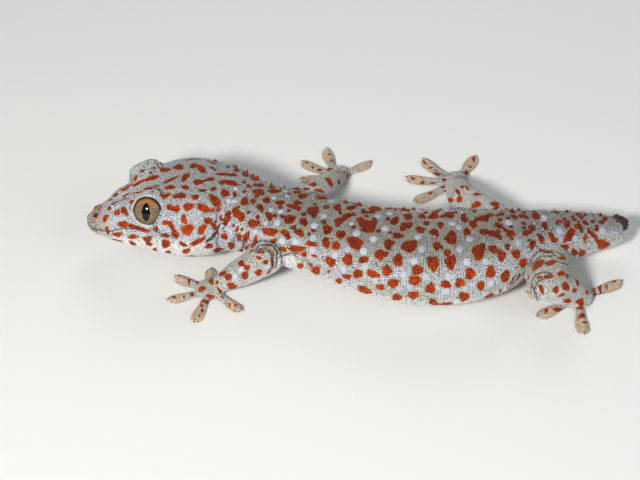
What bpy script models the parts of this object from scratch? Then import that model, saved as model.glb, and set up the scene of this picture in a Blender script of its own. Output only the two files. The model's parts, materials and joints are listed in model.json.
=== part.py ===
"""A life-size tokay gecko that has dropped its tail, walking on a flat floor.

The head points along -X, the back up along +Z, and the animal's left side faces -Y.
Sizes are in millimetres and become metres where a mesh is made.
"""

import math

import bmesh
import bpy
import numpy as np
from mathutils import Matrix, Vector

MM = 0.001
GAP = 0.3
CENTRING = Vector((0.15, -2.9, 0.0))

# Lengths of the body, in distance behind the snout along its axis
HEAD_END = 51.0
NECK_END = 62.0
TORSO_END = 171.0
STUMP_END = 187.0
BODY_SIDES = 24

# Cross-sections of the body from the snout to the stump: the axis point's x, y and height, then
# the half-width, the rise above the axis and the drop below it.
SECTIONS = (
    (-93.0, -2.5, 12.7, 2.2, 2.0, 1.9),
    (-91.7, -2.5, 12.7, 4.6, 3.7, 3.5),
    (-88.9, -2.3, 12.8, 6.2, 4.8, 4.7),
    (-85.4, -2.2, 12.9, 7.8, 5.9, 6.1),
    (-80.2, -1.8, 13.7, 10.2, 7.8, 7.8),
    (-72.3, -1.1, 15.2, 13.6, 9.2, 10.8),
    (-66.4, -0.5, 16.0, 17.0, 11.2, 12.4),
    (-61.3, 0.1, 16.4, 19.3, 12.8, 13.4),
    (-56.2, 0.8, 16.4, 20.0, 13.6, 13.8),
    (-51.1, 1.2, 16.0, 19.4, 13.4, 13.5),
    (-45.8, 1.2, 15.3, 17.4, 12.6, 12.8),
    (-37.2, -1.2, 14.2, 14.3, 11.2, 11.0),
    (-27.6, -5.2, 13.8, 14.1, 11.0, 10.8),
    (-14.7, -10.6, 13.8, 14.8, 11.0, 11.0),
    (4.1, -18.0, 13.9, 17.1, 11.6, 11.6),
    (25.8, -22.2, 14.0, 19.0, 12.1, 12.0),
    (39.7, -20.0, 13.8, 17.6, 11.5, 11.4),
    (53.2, -14.2, 13.0, 13.5, 10.0, 9.9),
    (60.7, -11.1, 12.2, 10.8, 8.8, 8.8),
    (69.7, -8.2, 11.0, 9.3, 7.9, 7.5),
    (78.7, -5.8, 10.0, 7.4, 6.5, 6.0),
    (86.1, -4.3, 9.6, 5.6, 5.1, 4.8),
    (90.9, -3.8, 9.8, 3.4, 3.4, 3.2),
    (92.6, -3.7, 10.0, 1.4, 1.4, 1.4),
)
HEAD_SQUARENESS = 2.6
TRUNK_SQUARENESS = 2.25
HEAD_ROLL_DEG = 8.0

# Head features, in the head's own frame: distance behind the snout, to the left, above the axis.
EYE_BEHIND = 22.4
EYE_SIDE = 8.4
EYE_ABOVE = 7.0
EYE_RADIUS = 5.8
EYE_OPENING = 5.1
EYE_LIFT_DEG = 18.0
EYE_FORWARD_DEG = 14.0
BROW_SIZE = (6.6, 6.4, 6.5)
LID_THICKNESS = 0.75
LID_SPREAD = 0.6
OUTLET_DEPTH = 4.0
OUTLET_AHEAD = 3.0
EAR_BEHIND = 45.6
EAR_ABOVE = 3.0
EAR_SIZE = (1.2, 3.0, 4.4)
EAR_SLANT_DEG = 30.0
EAR_OUT = 0.6
NOSTRIL_BEHIND = 3.4
NOSTRIL_SIDE = 3.1
NOSTRIL_ABOVE = 3.9
NOSTRIL_RADIUS = 0.75
# The mouth's line from the snout to its corner, then the jaw's back edge down to the throat.
MOUTH_LINE = ((-3.0, 0.2), (4.0, 0.2), (8.0, 0.0), (15.0, 0.8), (22.0, 0.6), (29.5, 0.9))
JAW_BACK = ((33.0, -2.0), (42.0, -20.0))
LIP_RADIUS = 0.8
JAW_BLOCK_REACH = 30.0

# Limbs: the places of shoulder or hip, elbow or knee, and wrist or ankle, and the flesh's radius
# at the upper end, upper middle, joint, lower middle and lower end.
LIMBS = {
    "foreleg_left": {
        "joints": ((-34, -8, 9.5), (-30.2, -21.4, 12.8), (-46.8, -24.4, 3.6)),
        "radii": (6.0, 5.9, 5.6, 5.0, 3.2),
    },
    "foreleg_right": {
        "joints": ((-34, 4, 9.5), (-15, 11, 11.8), (-7.6, 31.0, 3.8)),
        "radii": (5.8, 5.5, 5.2, 4.8, 3.2),
    },
    "hindleg_left": {
        "joints": ((64, -16, 9.5), (62.8, -35.4, 14.4), (74.2, -29.2, 4.0)),
        "radii": (7.4, 7.3, 6.9, 5.4, 3.5),
    },
    "hindleg_right": {
        "joints": ((60, -10, 8.5), (37.5, 9.0, 11.4), (35.1, 27.0, 4.0)),
        "radii": (6.8, 6.4, 6.0, 5.0, 3.5),
    },
}
LIMB_SIDES = 12
PARTS_OF_LIMB = {"foreleg": ("upper_arm", "forearm", "hand"), "hindleg": ("thigh", "shank", "foot")}

# Feet: the palm's middle, the way each toe points (degrees from +X) and its length to the pad's front.
FEET = {
    "foreleg_left": {
        "palm": (-49.7, -24.6),
        "angles": (92, 151, 197, 253, 320),
        "lengths": (10.6, 14.0, 14.4, 15.2, 14.2),
    },
    "foreleg_right": {
        "palm": (-7.6, 34.4),
        "angles": (250, 184, 145, 103, 34),
        "lengths": (10.6, 12.4, 15.0, 16.2, 15.0),
    },
    "hindleg_left": {
        "palm": (74.1, -28.2),
        "angles": (128, 170, 211, 273, 388),
        "lengths": (15.4, 16.8, 16.0, 16.2, 17.4),
    },
    "hindleg_right": {
        "palm": (35.3, 30.5),
        "angles": (211, 168, 129, 63, 316),
        "lengths": (17.0, 17.6, 17.6, 17.2, 16.4),
    },
}
PALM_SIZE = {"foreleg": (5.0, 4.6, 3.6), "hindleg": (5.4, 5.0, 4.0)}
PALM_MIDDLE = 1.4
TOE_WIDTH = {"foreleg": 2.65, "hindleg": 2.9}
RIDGE_SHARE = 0.42

# A toe from root to pad as (share of its length, half-width share, ridge height, pad thickness).
TOE_SECTIONS = (
    (0.16, 0.56, 2.5, 1.3),
    (0.36, 0.56, 2.3, 1.1),
    (0.52, 0.72, 2.1, 0.9),
    (0.68, 0.94, 2.0, 0.8),
    (0.82, 1.00, 1.9, 0.8),
    (0.93, 0.86, 1.9, 0.8),
    (1.00, 0.50, 1.9, 0.7),
)
# The claw beyond the pad as (distance, half-width, top, underside).
CLAW_SECTIONS = ((0.3, 0.55, 1.65, 0.75), (1.1, 0.36, 1.3, 0.55), (1.9, 0.14, 0.41, 0.15))

# Tubercles: rows along the back, from the nape to the stump.
TUBERCLE_SEED = 7
TUBERCLE_ROWS = (-64, -46, -28, -10, 10, 28, 46, 64)
TUBERCLE_SPACING = 9.0
TUBERCLE_RADIUS = 1.25
TUBERCLE_HEIGHT = 1.0
TUBERCLE_SUNK = 0.8
TUBERCLE_CLEARANCE = 2.6
TUBERCLE_MARGIN = 3.2

COLOURS = {
    "skin": ((0.50, 0.49, 0.46), 0.55),
    "pads": ((0.62, 0.50, 0.36), 0.6),
    "bud": ((0.10, 0.02, 0.02), 0.5),
    "eye": ((0.52, 0.36, 0.18), 0.08),
}


def clear_scene():
    """An empty scene with one collection for the gecko's parts."""
    for obj in list(bpy.data.objects):
        bpy.data.objects.remove(obj, do_unlink=True)
    parts = bpy.data.collections.new("tokay_gecko")
    bpy.context.scene.collection.children.link(parts)


def material(name):
    colour, roughness = COLOURS[name]
    made = bpy.data.materials.new(name)
    made.use_nodes = True
    shader = made.node_tree.nodes["Principled BSDF"]
    shader.inputs["Base Color"].default_value = (*colour, 1.0)
    shader.inputs["Roughness"].default_value = roughness
    shader.inputs["Metallic"].default_value = 0.0
    return made


def interpolate(places, values, at):
    """A smooth curve through rows of values given at increasing places, read at one place."""
    slopes = np.gradient(values, places, axis=0)
    i = int(np.clip(np.searchsorted(places, at) - 1, 0, len(places) - 2))
    step = places[i + 1] - places[i]
    t = (at - places[i]) / step
    return (
        (2 * t**3 - 3 * t**2 + 1) * values[i]
        + (t**3 - 2 * t**2 + t) * step * slopes[i]
        + (3 * t**2 - 2 * t**3) * values[i + 1]
        + (t**3 - t**2) * step * slopes[i + 1]
    )


STATIONS = np.array(SECTIONS, float) + np.array((*CENTRING, 0.0, 0.0, 0.0))
ALONG = np.concatenate(([0.0], np.cumsum(np.linalg.norm(np.diff(STATIONS[:, :2], axis=0), axis=1))))
BODY_LENGTH = float(ALONG[-1])


def body_frame(along):
    """Origin, backward, right and up directions of the cross-section at a distance behind the snout."""
    origin = Vector(interpolate(ALONG, STATIONS, along)[:3])
    before, after = (interpolate(ALONG, STATIONS, along + d)[:2] for d in (-0.5, 0.5))
    back = Vector((*(after - before), 0.0)).normalized()
    flat_right = Vector((-back.y, back.x, 0.0))
    roll = math.radians(HEAD_ROLL_DEG) * (1 - smoothstep(HEAD_END - 6, NECK_END + 12, along))
    up = Vector((0, 0, 1)) * math.cos(roll) + flat_right * math.sin(roll)
    right = flat_right * math.cos(roll) - Vector((0, 0, 1)) * math.sin(roll)
    return origin, back, right, up


def smoothstep(low, high, value):
    t = min(max((value - low) / (high - low), 0.0), 1.0)
    return t * t * (3 - 2 * t)


def signed_power(value, power):
    return math.copysign(abs(value) ** power, value)


def body_point(along, angle, grow=0.0):
    """A point of the body's surface; the angle runs from the top of the back towards the right side."""
    origin, _, right, up = body_frame(along)
    half_width, rise, drop = interpolate(ALONG, STATIONS, along)[3:]
    share = smoothstep(HEAD_END - 8, NECK_END, along)
    power = 2 / (HEAD_SQUARENESS * (1 - share) + TRUNK_SQUARENESS * share)
    height = (rise if math.cos(angle) > 0 else drop) + grow
    return (
        origin
        + right * (half_width + grow) * signed_power(math.sin(angle), power)
        + up * height * signed_power(math.cos(angle), power)
    )


def on_head(behind, side, above):
    """A point given in the head's own frame; side is positive to the animal's left."""
    origin, _, right, up = body_frame(behind)
    return origin - right * side + up * above


def new_object(name, mesh, surface=None):
    obj = bpy.data.objects.new(name, mesh)
    bpy.data.collections["tokay_gecko"].objects.link(obj)
    if surface:
        mesh.materials.append(surface)
    return obj


def loft(name, rings, surface=None):
    """A closed body through rings of points that all have the same count, with flat ends."""
    shell = bmesh.new()
    loops = [[shell.verts.new(Vector(p) * MM) for p in ring] for ring in rings]
    for first, second in zip(loops, loops[1:]):
        for i, corner in enumerate(first):
            j = (i + 1) % len(first)
            shell.faces.new((corner, first[j], second[j], second[i]))
    shell.faces.new(loops[0][::-1])
    shell.faces.new(loops[-1])
    bmesh.ops.recalc_face_normals(shell, faces=shell.faces)
    mesh = bpy.data.meshes.new(name)
    shell.to_mesh(mesh)
    shell.free()
    return new_object(name, mesh, surface)


def body_loft(name, start, end, step, surface=None, grow=0.0):
    count = max(2, round((end - start) / step))
    rings = []
    for k in range(count + 1):
        along = start + (end - start) * k / count
        rings.append([body_point(along, 2 * math.pi * i / BODY_SIDES, grow) for i in range(BODY_SIDES)])
    return loft(name, rings, surface)


def ellipsoid(name, middle, size, turn=None, segments=16, rings=10):
    shell = bmesh.new()
    bmesh.ops.create_uvsphere(shell, u_segments=segments, v_segments=rings, radius=1.0)
    placed = Matrix.Translation(Vector(middle) * MM)
    if turn:
        placed = placed @ turn.to_4x4()
    placed = placed @ Matrix.Diagonal((*[s * MM for s in size], 1.0))
    bmesh.ops.transform(shell, matrix=placed, verts=shell.verts)
    mesh = bpy.data.meshes.new(name)
    shell.to_mesh(mesh)
    shell.free()
    return new_object(name, mesh)


def ring_body(name, middle, axis, major, minor):
    """A closed torus about an axis."""
    bpy.ops.mesh.primitive_torus_add(
        major_segments=16, minor_segments=5, major_radius=major * MM, minor_radius=minor * MM
    )
    made = bpy.context.object
    ring = new_object(name, made.data)
    bpy.data.objects.remove(made)
    turn = Vector(axis).to_track_quat("Z", "Y").to_matrix().to_4x4()
    ring.data.transform(Matrix.Translation(Vector(middle) * MM) @ turn)
    return ring


def combine(target, others, operation):
    """Applies one Boolean between target and a collection of closed bodies, and removes them."""
    group = bpy.data.collections.new("cutters")
    bpy.context.scene.collection.children.link(group)
    for other in others:
        group.objects.link(other)
    modifier = target.modifiers.new("combine", "BOOLEAN")
    modifier.operation = operation
    modifier.solver = "EXACT"
    modifier.operand_type = "COLLECTION"
    modifier.collection = group
    bpy.context.view_layer.update()
    evaluated = target.evaluated_get(bpy.context.evaluated_depsgraph_get())
    mesh = bpy.data.meshes.new_from_object(evaluated)
    target.modifiers.clear()
    old = target.data
    target.data = mesh
    bpy.data.meshes.remove(old)
    for other in others:
        bpy.data.objects.remove(other, do_unlink=True)
    bpy.data.collections.remove(group)
    keep_largest(target)


def keep_largest(obj):
    """Drops every closed surface of the object but the largest."""
    shell = bmesh.new()
    shell.from_mesh(obj.data)
    bmesh.ops.remove_doubles(shell, verts=shell.verts, dist=1e-6)
    bmesh.ops.dissolve_degenerate(shell, edges=shell.edges, dist=1e-6)
    unseen = set(shell.faces)
    groups = []
    while unseen:
        stack = [unseen.pop()]
        group = set(stack)
        while stack:
            for edge in stack.pop().edges:
                for face in edge.link_faces:
                    if face in unseen:
                        unseen.discard(face)
                        group.add(face)
                        stack.append(face)
        groups.append(group)
    groups.sort(key=lambda group: sum(face.calc_area() for face in group), reverse=True)
    for group in groups[1:]:
        bmesh.ops.delete(shell, geom=list(group), context="FACES")
    shell.to_mesh(obj.data)
    shell.free()


def eye_axis(side):
    """The way an eye looks: outward, a little up and forward."""
    _, back, right, up = body_frame(EYE_BEHIND)
    lift, forward = math.radians(EYE_LIFT_DEG), math.radians(EYE_FORWARD_DEG)
    outward = -right * side * math.cos(forward) - back * math.sin(forward)
    return (outward * math.cos(lift) + up * math.sin(lift)).normalized()


def head_turn():
    """The rotation from the head's frame to the row frame: X back, Y right, Z up."""
    _, back, right, up = body_frame(EYE_BEHIND)
    return Matrix((back, right, up)).transposed()


def head_pieces(skin, eye):
    """The head with its brows, lids and lips, hollowed for the eyes, ears and nostrils."""
    head = body_loft("head", 0.0, HEAD_END - GAP / 2, 2.2, skin)
    added, hollows = [lips()], []
    for side, word in ((1, "left"), (-1, "right")):
        added += eye_mounds(side)
        hollows += eye_hollows(side) + [ear_hollow(side), nostril_hollow(side)]
        eye_ball("eye_" + word, side, eye)
    combine(head, added, "UNION")
    combine(head, hollows, "DIFFERENCE")
    return head


def eye_place(side):
    """An eye's middle, the middle of its lid rim, the way it looks and the rotation that faces it."""
    middle = on_head(EYE_BEHIND, EYE_SIDE * side, EYE_ABOVE)
    axis = eye_axis(side)
    rim = middle + axis * math.sqrt(EYE_RADIUS**2 - EYE_OPENING**2)
    return middle, rim, axis, axis.to_track_quat("Z", "Y").to_matrix()


def eye_mounds(side):
    """The brow over an eye and the thick rim of its lid."""
    middle, rim, axis, _ = eye_place(side)
    brow = ellipsoid("brow", middle, BROW_SIZE, head_turn())
    return [brow, ring_body("lid", rim, axis, EYE_OPENING + LID_SPREAD, LID_THICKNESS)]


def eye_hollows(side):
    """The socket and the opening in front of it."""
    middle, rim, axis, facing = eye_place(side)
    socket = ellipsoid("socket", middle, (EYE_RADIUS + GAP,) * 3, head_turn(), 18, 11)
    size = (EYE_OPENING + GAP, EYE_OPENING + GAP, OUTLET_DEPTH)
    return [socket, ellipsoid("outlet", rim + axis * OUTLET_AHEAD, size, facing, 16, 8)]


def eye_ball(name, side, surface):
    middle, _, _, facing = eye_place(side)
    ball = ellipsoid(name, middle, (EYE_RADIUS,) * 3, facing, 16, 10)
    ball.data.materials.append(surface)


def ear_hollow(side):
    turn = head_turn() @ Matrix.Rotation(math.radians(EAR_SLANT_DEG), 3, "Y")
    half_width = (body_point(EAR_BEHIND, math.pi / 2) - body_frame(EAR_BEHIND)[0]).length
    place = on_head(EAR_BEHIND, (half_width - EAR_OUT) * side, EAR_ABOVE)
    return ellipsoid("ear", place, EAR_SIZE, turn, 12, 8)


def nostril_hollow(side):
    place = on_head(NOSTRIL_BEHIND, NOSTRIL_SIDE * side, NOSTRIL_ABOVE)
    return ellipsoid("nostril", place, (NOSTRIL_RADIUS,) * 3, head_turn(), 10, 6)


def mouth_height(along):
    """Height of the mouth's line above the head's axis."""
    places, heights = zip(*MOUTH_LINE)
    return float(np.interp(along, places, heights))


def on_lip(along, side):
    """The point of the head's surface on the mouth's line."""
    _, _, _, half_width, rise, _ = interpolate(ALONG, STATIONS, along)
    height = mouth_height(along)
    share = (1 - (height / rise) ** HEAD_SQUARENESS) ** (1 / HEAD_SQUARENESS)
    return on_head(along, side * half_width * share, height)


def lips():
    """A low rounded rim from one corner of the mouth round the snout to the other."""
    places = [MOUTH_LINE[-1][0] * share for share in (1.0, 0.8, 0.6, 0.42, 0.26, 0.14, 0.07)]
    route = [on_lip(along, 1) for along in places] + [on_head(LIP_RADIUS, 0, mouth_height(0))]
    route += [on_lip(along, -1) for along in places[::-1]]
    rings = []
    for i, middle in enumerate(route):
        ahead = (route[min(i + 1, len(route) - 1)] - route[max(i - 1, 0)]).normalized()
        out = ahead.cross(Vector((0, 0, 1))).normalized()
        radius = LIP_RADIUS * (0.45 if i in (0, len(route) - 1) else 1.0)
        over = out.cross(ahead)
        angles = [2 * math.pi * k / 6 for k in range(6)]
        rings.append([middle + (out * math.cos(a) + over * math.sin(a)) * radius for a in angles])
    return loft("lips", rings)


def jaw_block(offset):
    """A block that holds the lower jaw, its upper face on the mouth's line, moved up and back by offset."""
    outline = [(along, height + offset) for along, height in MOUTH_LINE]
    outline += [(along + offset * 1.2, height + offset * 0.3) for along, height in JAW_BACK]
    outline.append((MOUTH_LINE[0][0], JAW_BACK[-1][1]))
    back = head_turn() @ Vector((1, 0, 0))
    sides = []
    for side in (-JAW_BLOCK_REACH, JAW_BLOCK_REACH):
        ring = [on_head(0, side, height) + back * along for along, height in outline]
        sides.append([point + Vector((0, 0, axis_rise(a))) for point, (a, _) in zip(ring, outline)])
    return loft("jaw_block", sides)


def axis_rise(along):
    """How much higher the head's axis lies at a distance behind the snout than at its tip."""
    return interpolate(ALONG, STATIONS, min(max(along, 0.0), BODY_LENGTH))[2] - STATIONS[0][2]


def copy_of(obj, name):
    twin = obj.copy()
    twin.data = obj.data.copy()
    twin.name = name
    bpy.data.collections["tokay_gecko"].objects.link(twin)
    return twin


def part_jaw(head):
    """Parts the lower jaw from the head along the line of the mouth."""
    jaw = copy_of(head, "lower_jaw")
    combine(jaw, [jaw_block(0.0)], "INTERSECT")
    combine(head, [jaw_block(GAP)], "DIFFERENCE")


def spindle(name, start, end, radii, surface=None, grow=0.0):
    """A straight length of limb with round ends, its radius read from the start, middle and end."""
    axis = end - start
    length = axis.length
    turn = axis.to_track_quat("Z", "Y").to_matrix()
    first, last = radii[0] + grow, radii[2] + grow
    profile = [(-first * math.cos(a), first * math.sin(a)) for a in (0.25, 0.7, 1.15)]
    places, table = np.array((0.0, 0.5, 1.0)), np.array(radii, float)
    profile += [(length * t, float(interpolate(places, table, t)) + grow) for t in (0, 0.25, 0.5, 0.75, 1)]
    profile += [(length + last * math.cos(a), last * math.sin(a)) for a in (1.15, 0.7, 0.25)]
    angles = [2 * math.pi * i / LIMB_SIDES for i in range(LIMB_SIDES)]
    rings = [
        [start + turn @ Vector((radius * math.cos(a), radius * math.sin(a), height)) for a in angles]
        for height, radius in profile
    ]
    return loft(name, rings, surface)


def limb_length(name, limb, lower, surface=None, grow=0.0):
    """The upper or lower length of a limb as a spindle between its joints."""
    joints = [Vector(joint) + CENTRING for joint in LIMBS[limb]["joints"]]
    first = 1 if lower else 0
    radii = LIMBS[limb]["radii"][2 * first : 2 * first + 3]
    return spindle(name, joints[first], joints[first + 1], radii, surface, grow)


def limb_pieces(limb, skin):
    """Both lengths of a limb, the upper one cut clear of the body and the lower one clear of both."""
    kind, side = limb.split("_")
    upper_name, lower_name, _ = PARTS_OF_LIMB[kind]
    upper = limb_length(f"{upper_name}_{side}", limb, False, skin)
    lower = limb_length(f"{lower_name}_{side}", limb, True, skin)
    combine(upper, [body_tool()], "DIFFERENCE")
    grown_upper = limb_length("upper_tool", limb, False, grow=GAP)
    combine(lower, [body_tool(), grown_upper, palm_body("palm_tool", limb, grow=GAP)], "DIFFERENCE")


def body_tool():
    """The body from the back of the head to the stump, grown by the gap, for cutting the limbs."""
    return body_loft("body_tool", 40.0, 180.0, 3.6, grow=GAP)


def palm_body(name, limb, surface=None, grow=0.0):
    """A low dome with a flat sole on the floor."""
    kind = limb.split("_")[0]
    x, y = FEET[limb]["palm"]
    size = [s + grow for s in PALM_SIZE[kind]]
    palm = ellipsoid(name, Vector((x, y, PALM_MIDDLE)) + CENTRING, size, None, 12, 8)
    for vert in palm.data.vertices:
        vert.co.z = max(vert.co.z, -grow * MM)
    if surface:
        palm.data.materials.append(surface)
    return palm


def toe_section(half_width, ridge, top, thickness, underside=0.0):
    """A toe's outline as (across, up): a thin pad with a rounded ridge along its middle."""
    edge = underside + thickness
    half = [
        (half_width * 0.92, underside),
        (half_width, underside + thickness * 0.5),
        (half_width * 0.84, edge),
        (ridge, edge + (top - edge) * 0.6),
    ]
    return half + [(0.0, top)] + [(-across, up) for across, up in half[::-1]]


def toe_rings(limb, number):
    """Rings of a toe from its root in the palm over the wide pad to the claw's tip."""
    foot = FEET[limb]
    angle = math.radians(foot["angles"][number])
    length = foot["lengths"][number]
    width = TOE_WIDTH[limb.split("_")[0]]
    root = Vector((*foot["palm"], 0.0)) + CENTRING
    ahead = Vector((math.cos(angle), math.sin(angle), 0))
    across = Vector((-ahead.y, ahead.x, 0))
    outlines = []
    for share, half, top, thickness in TOE_SECTIONS:
        outline = toe_section(half * width, RIDGE_SHARE * width, top, thickness)
        outlines.append((share * length, outline))
    for beyond, half, top, underside in CLAW_SECTIONS:
        outline = toe_section(half, half * 0.6, top, (top - underside) / 2, underside)
        outlines.append((length + beyond, outline))
    return [
        [root + ahead * distance + across * side + Vector((0, 0, up)) for side, up in outline]
        for distance, outline in outlines
    ]


def foot_pieces(limb, skin, pads):
    """A palm or sole and its five toes, each cut clear of it."""
    kind, side = limb.split("_")
    foot_name = PARTS_OF_LIMB[kind][2]
    palm_body(f"{foot_name}_{side}", limb, skin)
    for number in range(5):
        toe = loft(f"{foot_name}_{side}_toe_{number + 1}", toe_rings(limb, number), pads)
        cutters = [palm_body("palm_tool", limb, grow=GAP), limb_length("limb_tool", limb, True, grow=GAP)]
        combine(toe, cutters, "DIFFERENCE")


def tubercles(start, end):
    """Low cones in rows along the back, sunk into the surface they grow from."""
    draw = np.random.default_rng(TUBERCLE_SEED)
    cones = []
    for row, degrees in enumerate(TUBERCLE_ROWS):
        along = start + TUBERCLE_MARGIN + (TUBERCLE_SPACING / 2 if row % 2 else 0)
        while along < end - TUBERCLE_MARGIN:
            place = along + draw.uniform(-1, 1)
            angle = math.radians(degrees + draw.uniform(-3, 3))
            size = draw.uniform(0.85, 1.15)
            if not on_a_limb(body_point(place, angle)):
                cones.append(cone_at(place, angle, size, len(cones)))
            along += TUBERCLE_SPACING
    return cones


def on_a_limb(point):
    """Whether a point of the body's surface is where a limb leaves it."""
    for limb in LIMBS.values():
        start, end = (Vector(joint) + CENTRING for joint in limb["joints"][:2])
        share = min(max((point - start).dot(end - start) / (end - start).length_squared, 0.0), 1.0)
        if (point - start.lerp(end, share)).length < limb["radii"][0] + TUBERCLE_CLEARANCE:
            return True
    return False


def cone_at(along, angle, size, number):
    foot = body_point(along, angle)
    ahead = body_point(along + 0.5, angle) - body_point(along - 0.5, angle)
    across = body_point(along, angle + 0.03) - body_point(along, angle - 0.03)
    outward = across.cross(ahead).normalized()
    if outward.dot(foot - body_frame(along)[0]) < 0:
        outward.negate()
    lean = (outward + ahead.normalized() * 0.25).normalized()
    shell = bmesh.new()
    height = TUBERCLE_HEIGHT * size
    bmesh.ops.create_cone(
        shell, cap_ends=True, segments=5, radius1=TUBERCLE_RADIUS * size * 1.2 * MM, radius2=0.25 * MM,
        depth=(height + TUBERCLE_SUNK) * MM,
    )
    middle = foot + lean * (height - TUBERCLE_SUNK) / 2
    placed = Matrix.Translation(middle * MM) @ lean.to_track_quat("Z", "Y").to_matrix().to_4x4()
    bmesh.ops.transform(shell, matrix=placed, verts=shell.verts)
    mesh = bpy.data.meshes.new(f"cone_{number}")
    shell.to_mesh(mesh)
    shell.free()
    return new_object(f"cone_{number}", mesh)


def shade(obj):
    obj.data.shade_smooth()
    obj.data.set_sharp_from_angle(angle=math.radians(40))


def trunk_length(name, start, end, step, surface):
    """A length of the body behind the head, with its tubercles."""
    length = body_loft(name, start + GAP / 2, end - GAP / 2, step, surface)
    combine(length, tubercles(start, end), "UNION")


def main():
    clear_scene()
    skin, pads, bud, eye = (material(name) for name in ("skin", "pads", "bud", "eye"))
    part_jaw(head_pieces(skin, eye))
    trunk_length("neck", HEAD_END, NECK_END, 3.5, skin)
    trunk_length("torso", NECK_END, TORSO_END, 3.6, skin)
    trunk_length("tail_stump", TORSO_END, STUMP_END, 3.2, skin)
    body_loft("tail_bud", STUMP_END + GAP / 2, BODY_LENGTH, 1.5, bud)
    for limb in LIMBS:
        limb_pieces(limb, skin)
        foot_pieces(limb, skin, pads)
    for obj in bpy.data.objects:
        shade(obj)


main()
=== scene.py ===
# %% [markdown]
# A tokay gecko that has dropped its tail, life-size and still, as a museum shows one.
# The solids are a fixed frame. One skin is laid inside them, thousands of small scales are set
# on that skin, and both read the same markings, so that every orange spot is made of whole
# scales, as it is on the living animal.

import json
import math
from itertools import product

import bmesh
import bpy
import numpy as np
from mathutils import Matrix, Vector
from mathutils import noise as mathutils_noise
from mathutils.bvhtree import BVHTree
from mathutils.kdtree import KDTree

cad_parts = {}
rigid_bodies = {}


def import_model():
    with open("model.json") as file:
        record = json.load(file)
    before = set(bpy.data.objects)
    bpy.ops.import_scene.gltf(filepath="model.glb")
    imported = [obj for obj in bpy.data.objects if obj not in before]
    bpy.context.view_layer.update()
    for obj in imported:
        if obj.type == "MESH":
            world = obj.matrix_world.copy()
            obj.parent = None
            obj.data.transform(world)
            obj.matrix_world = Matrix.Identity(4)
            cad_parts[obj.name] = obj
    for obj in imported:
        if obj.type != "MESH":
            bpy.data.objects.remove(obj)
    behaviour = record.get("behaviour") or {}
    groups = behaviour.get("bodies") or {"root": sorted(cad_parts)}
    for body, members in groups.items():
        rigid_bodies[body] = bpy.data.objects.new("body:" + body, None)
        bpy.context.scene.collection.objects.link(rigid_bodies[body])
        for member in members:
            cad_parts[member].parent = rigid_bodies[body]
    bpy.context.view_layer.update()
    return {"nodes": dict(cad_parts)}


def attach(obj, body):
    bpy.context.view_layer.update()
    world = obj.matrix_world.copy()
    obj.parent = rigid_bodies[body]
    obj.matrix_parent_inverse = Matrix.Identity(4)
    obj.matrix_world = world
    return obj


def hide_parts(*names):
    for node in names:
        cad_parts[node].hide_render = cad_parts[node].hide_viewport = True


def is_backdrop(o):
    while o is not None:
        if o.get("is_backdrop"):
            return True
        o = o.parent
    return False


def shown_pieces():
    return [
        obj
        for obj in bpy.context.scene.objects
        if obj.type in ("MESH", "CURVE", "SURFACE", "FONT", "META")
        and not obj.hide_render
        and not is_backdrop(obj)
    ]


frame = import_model()


nodes = frame["nodes"]
print("frame:", len(nodes), "nodes")

# %% [markdown]
# The sizes are the same named values that shaped the solids, in millimetres. Points are worked
# out in millimetres with numpy, because a gecko is small, and become metres in the meshes.

# %% Sizes of the body
MM = 0.001
CENTRING = np.array((0.15, -2.9, 0.0))
HEAD_END = 51.0
NECK_END = 62.0
STUMP_END = 187.0
# Each row: the axis point's x, y and height, the half-width, the rise above it and the drop.
SECTIONS = (
    (-93.0, -2.5, 12.7, 2.2, 2.0, 1.9),
    (-91.7, -2.5, 12.7, 4.6, 3.7, 3.5),
    (-88.9, -2.3, 12.8, 6.2, 4.8, 4.7),
    (-85.4, -2.2, 12.9, 7.8, 5.9, 6.1),
    (-80.2, -1.8, 13.7, 10.2, 7.8, 7.8),
    (-72.3, -1.1, 15.2, 13.6, 9.2, 10.8),
    (-66.4, -0.5, 16.0, 17.0, 11.2, 12.4),
    (-61.3, 0.1, 16.4, 19.3, 12.8, 13.4),
    (-56.2, 0.8, 16.4, 20.0, 13.6, 13.8),
    (-51.1, 1.2, 16.0, 19.4, 13.4, 13.5),
    (-45.8, 1.2, 15.3, 17.4, 12.6, 12.8),
    (-37.2, -1.2, 14.2, 14.3, 11.2, 11.0),
    (-27.6, -5.2, 13.8, 14.1, 11.0, 10.8),
    (-14.7, -10.6, 13.8, 14.8, 11.0, 11.0),
    (4.1, -18.0, 13.9, 17.1, 11.6, 11.6),
    (25.8, -22.2, 14.0, 19.0, 12.1, 12.0),
    (39.7, -20.0, 13.8, 17.6, 11.5, 11.4),
    (53.2, -14.2, 13.0, 13.5, 10.0, 9.9),
    (60.7, -11.1, 12.2, 10.8, 8.8, 8.8),
    (69.7, -8.2, 11.0, 9.3, 7.9, 7.5),
    (78.7, -5.8, 10.0, 7.4, 6.5, 6.0),
    (86.1, -4.3, 9.6, 5.6, 5.1, 4.8),
    (90.9, -3.8, 9.8, 3.4, 3.4, 3.2),
    (92.6, -3.7, 10.0, 1.4, 1.4, 1.4),
)
HEAD_SQUARENESS = 2.6
TRUNK_SQUARENESS = 2.25
HEAD_ROLL = math.radians(8.0)
COAT_DEPTH = 0.3
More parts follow.
